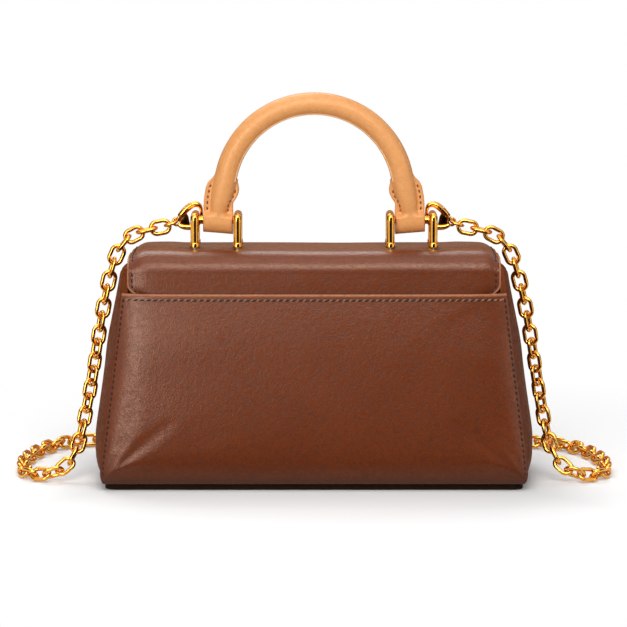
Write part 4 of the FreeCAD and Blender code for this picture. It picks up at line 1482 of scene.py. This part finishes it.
def one_stitch(length, thickness):
    """A bead of thread along X with blunt ends."""
    start()
    bpy.ops.mesh.primitive_uv_sphere_add(segments=8, ring_count=6, radius=1)
    bead = bpy.context.object
    bead.rotation_euler = (0, math.pi / 2, 0)
    bead = settle(bead, "stitch")
    for vertex in bead.data.vertices:
        x, y, z = vertex.co
        blunt = math.copysign(abs(x) ** 0.7, x)
        vertex.co = Vector((blunt * length, y * thickness, z * thickness)) / 2 * MM
    return bead


def sew(name, rows, material, pitch, length, thickness, tilt):
    """Lay tilted stitches along rows of (point, normal); returns one joined piece."""
    bead = one_stitch(length, thickness)
    beads = []
    for row in rows:
        points = [p for p, n in row]
        total = sum((b - a).length for a, b in zip(points, points[1:]))
        count = max(int(total / (pitch * MM)), 1)
        for i in range(count):
            at = total * (i + 0.5) / count
            place = along(points, at)
            normal = min(row, key=lambda item: (item[0] - place).length_squared)[1]
            ahead, behind = min(at + LOOK_AHEAD * MM, total), max(at - LOOK_AHEAD * MM, 0.0)
            run = along(points, ahead) - along(points, behind)
            run = (run - normal * run.dot(normal)).normalized()
            run = Matrix.Rotation(math.radians(tilt), 3, normal) @ run
            beads.append(copied(bead, frame_of(run, normal.cross(run), normal, place - normal * SUNK * MM)))
    discard(bead)
    piece = join(beads, name)
    smooth(piece, 60)
    piece.data.materials.clear()
    piece.data.materials.append(material)
    print(name, len(beads), "stitches")
    return piece


# %% Seams of the pocket
LIP_SEAM_HALF, LIP_SEAM_DROP = 108.6, 2.9
SIDE_SEAM_INSET, SIDE_SEAM_FOOT, SIDE_SEAM_TOP = 1.7, 8.5, 110.0
GROOVE_RADIUS = 0.5

lip_places = [(x, -50, MOUTH_Z - LIP_SEAM_DROP) for x in steps(-LIP_SEAM_HALF, LIP_SEAM_HALF, 120)]
lip_row = drop_on(pocket_tree, lip_places, (0, 1, 0))
lip_stitches = sew("pocket_lip_stitches", [lip_row], brown_thread,
                   pitch=3.7, length=3.0, thickness=1.35, tilt=16)
# Painted shade: a near-black rod sunk along the stitch line stands for the shade in the groove and between
# the stitches.
groove_line = [p / MM for p, n in lip_row[::3]]
lip_painted_shade = settle(rod("groove", groove_line, GROOVE_RADIUS, sides=2), "pocket_lip_painted_shade")
finish_piece(lip_painted_shade, "bag", "brown_leather", dark_thread)
finish_piece(lip_stitches, "bag", "brown_leather", None)
side_rows = []
for side in (-1, 1):
    places = [(side * (side_x(z) - SIDE_SEAM_INSET - foot_round(z, POCKET_ROUND)), -60, z)
              for z in steps(SIDE_SEAM_FOOT, SIDE_SEAM_TOP, 80)]
    side_rows.append(drop_on(pocket_tree, places, (0, 1, 0)))
side_stitches = sew("pocket_side_stitches", side_rows, dark_thread,
                    pitch=3.3, length=2.3, thickness=1.3, tilt=8)
finish_piece(side_stitches, "bag", "brown_leather", None)

# %% [markdown]
# ## Rims and seams of the flap
# The cut edge of the flap is painted and polished, so it is a thin rod on the edge; its light
# colour is partly edge paint and partly a painted highlight along the fall. The seam runs just
# inside it. Like the leather, the side seam crosses the hinge; the seam at the flap's end rides on the flap
# alone.

# %% Painted rims of the flap, partly a painted highlight
RIM_RADIUS = 0.62
RIM_FROM, RIM_TO = 0.055, 0.37

for side, at in (("left", 0.0), ("right", 1.0)):
    edge_line = [flap_place(at, v) for v in steps(RIM_FROM, RIM_TO, 40)]
    flap_rim = settle(rod("rim", edge_line, RIM_RADIUS, sides=2), side + "_flap_rim")
    smooth(flap_rim, 60)
    finish_piece(flap_rim, "bag", "brown_leather", lip_paint_and_highlight)
print("flap rims are painted")

# %% Seams of the flap
FLAP_SEAM_INSET = 2.3

flap_tree = surface(flap)
fall_rows = []
for side in (-1, 1):
    back = [(side * (flap_half(-1, z) - FLAP_SEAM_INSET), -60, z) for z in steps(112.2, 124.5, 16)]
    over = [(side * (FLAP_HALF - FLAP_SEAM_INSET), y, 170) for y in steps(-24, 26, 40)]
    front = [(side * (flap_half(1, z) - FLAP_SEAM_INSET), 80, z) for z in steps(124.5, 58.0, 60)]
    fall_rows.append(drop_on(flap_tree, back, (0, 1, 0)) + drop_on(flap_tree, over, (0, 0, -1))
                     + drop_on(flap_tree, front, (0, -1, 0)))
flap_side_stitches = sew("flap_side_stitches", fall_rows, dark_thread,
                         pitch=3.2, length=2.3, thickness=1.1, tilt=10)
seam_radius = FLAP_CORNER - FLAP_SEAM_INSET
corner = [(FLAP_HALF - FLAP_CORNER + seam_radius * math.cos(a),
           FLAP_END_Z + FLAP_CORNER - seam_radius * math.sin(a))
          for a in steps(math.radians(20), math.radians(90), 24)]
edge_places = [(x, 80, z) for x, z in corner]
edge_places += [(x, 80, FLAP_END_Z + FLAP_SEAM_INSET) for x in steps(78, -78, 70)]
edge_places += [(-x, 80, z) for x, z in corner[::-1]]
end_row = drop_on(flap_tree, edge_places, (0, -1, 0))
flap_end_stitches = sew("flap_end_stitches", [end_row], brown_thread,
                        pitch=3.5, length=2.6, thickness=0.8, tilt=10)
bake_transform(flap_side_stitches)
finish_piece(flap_end_stitches, "flap", "brown_leather", None)

# %% Seams of the front wall and the handle's wings
FRONT_SEAM_HALF, FRONT_SEAM_DROP = 104.0, 3.0
WING_SEAM_INSET, WING_SEAM_START, WING_SEAM_END = 2.2, 5.5, 21.0

front_places = [(x, 80, LIP_Z - FRONT_SEAM_DROP) for x in steps(-FRONT_SEAM_HALF, FRONT_SEAM_HALF, 100)]
front_row = drop_on(surface(front_wall), front_places, (0, -1, 0))
front_stitches = sew("front_lip_stitches", [front_row], brown_thread,
                     pitch=3.75, length=2.9, thickness=0.85, tilt=10)
finish_piece(front_stitches, "bag", "brown_leather", None)
for name, tab, side in (("right", right_tab, 1), ("left", left_tab, -1)):
    tab_tree = surface(tab)
    wing_rows = []
    for edge_side in (-1, 1):
        for facing in (-1, 1):
            places = []
            for s in steps(WING_SEAM_START, WING_SEAM_END, 30):
                point, turn = tab_centre(s)
                inset = WING_SEAM_INSET + (ease(s, 10, WING_SEAM_END) if edge_side < 0 else 0.0)
                reach = edge_side * (tab_half(s, edge_side) - inset)
                spot = point + Vector((math.cos(turn), 0, math.sin(turn))) * reach
                places.append((side * spot.x, 0, spot.z))
            wing_rows.append(drop_on(tab_tree, places, (0, -facing, 0), 40))
    wing_stitches = sew(name + "_wing_stitches", wing_rows, tan_thread,
                        pitch=3.1, length=1.9, thickness=1.15, tilt=0)
    finish_piece(wing_stitches, "handle", "tan_leather", None)

# %% [markdown]
# ## Nodes that stay as they are
# Boards, plates, screws, pins and magnets are inside the bag. Their shapes are right, so
# they keep their solids and only get a finish.

# %% Finishes on the hidden nodes
for node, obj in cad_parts.items():
    finish = None
    if node == "base_board":
        finish = base_paint_and_painted_shade
    elif node.endswith("board"):
        finish = grey_board
    elif node.endswith(("plate", "screws", "magnet")):
        finish = steel
    elif node.endswith("pin"):
        finish = gold
    if finish:
        obj.data.materials.clear()
        obj.data.materials.append(finish)
print("hidden nodes are finished")
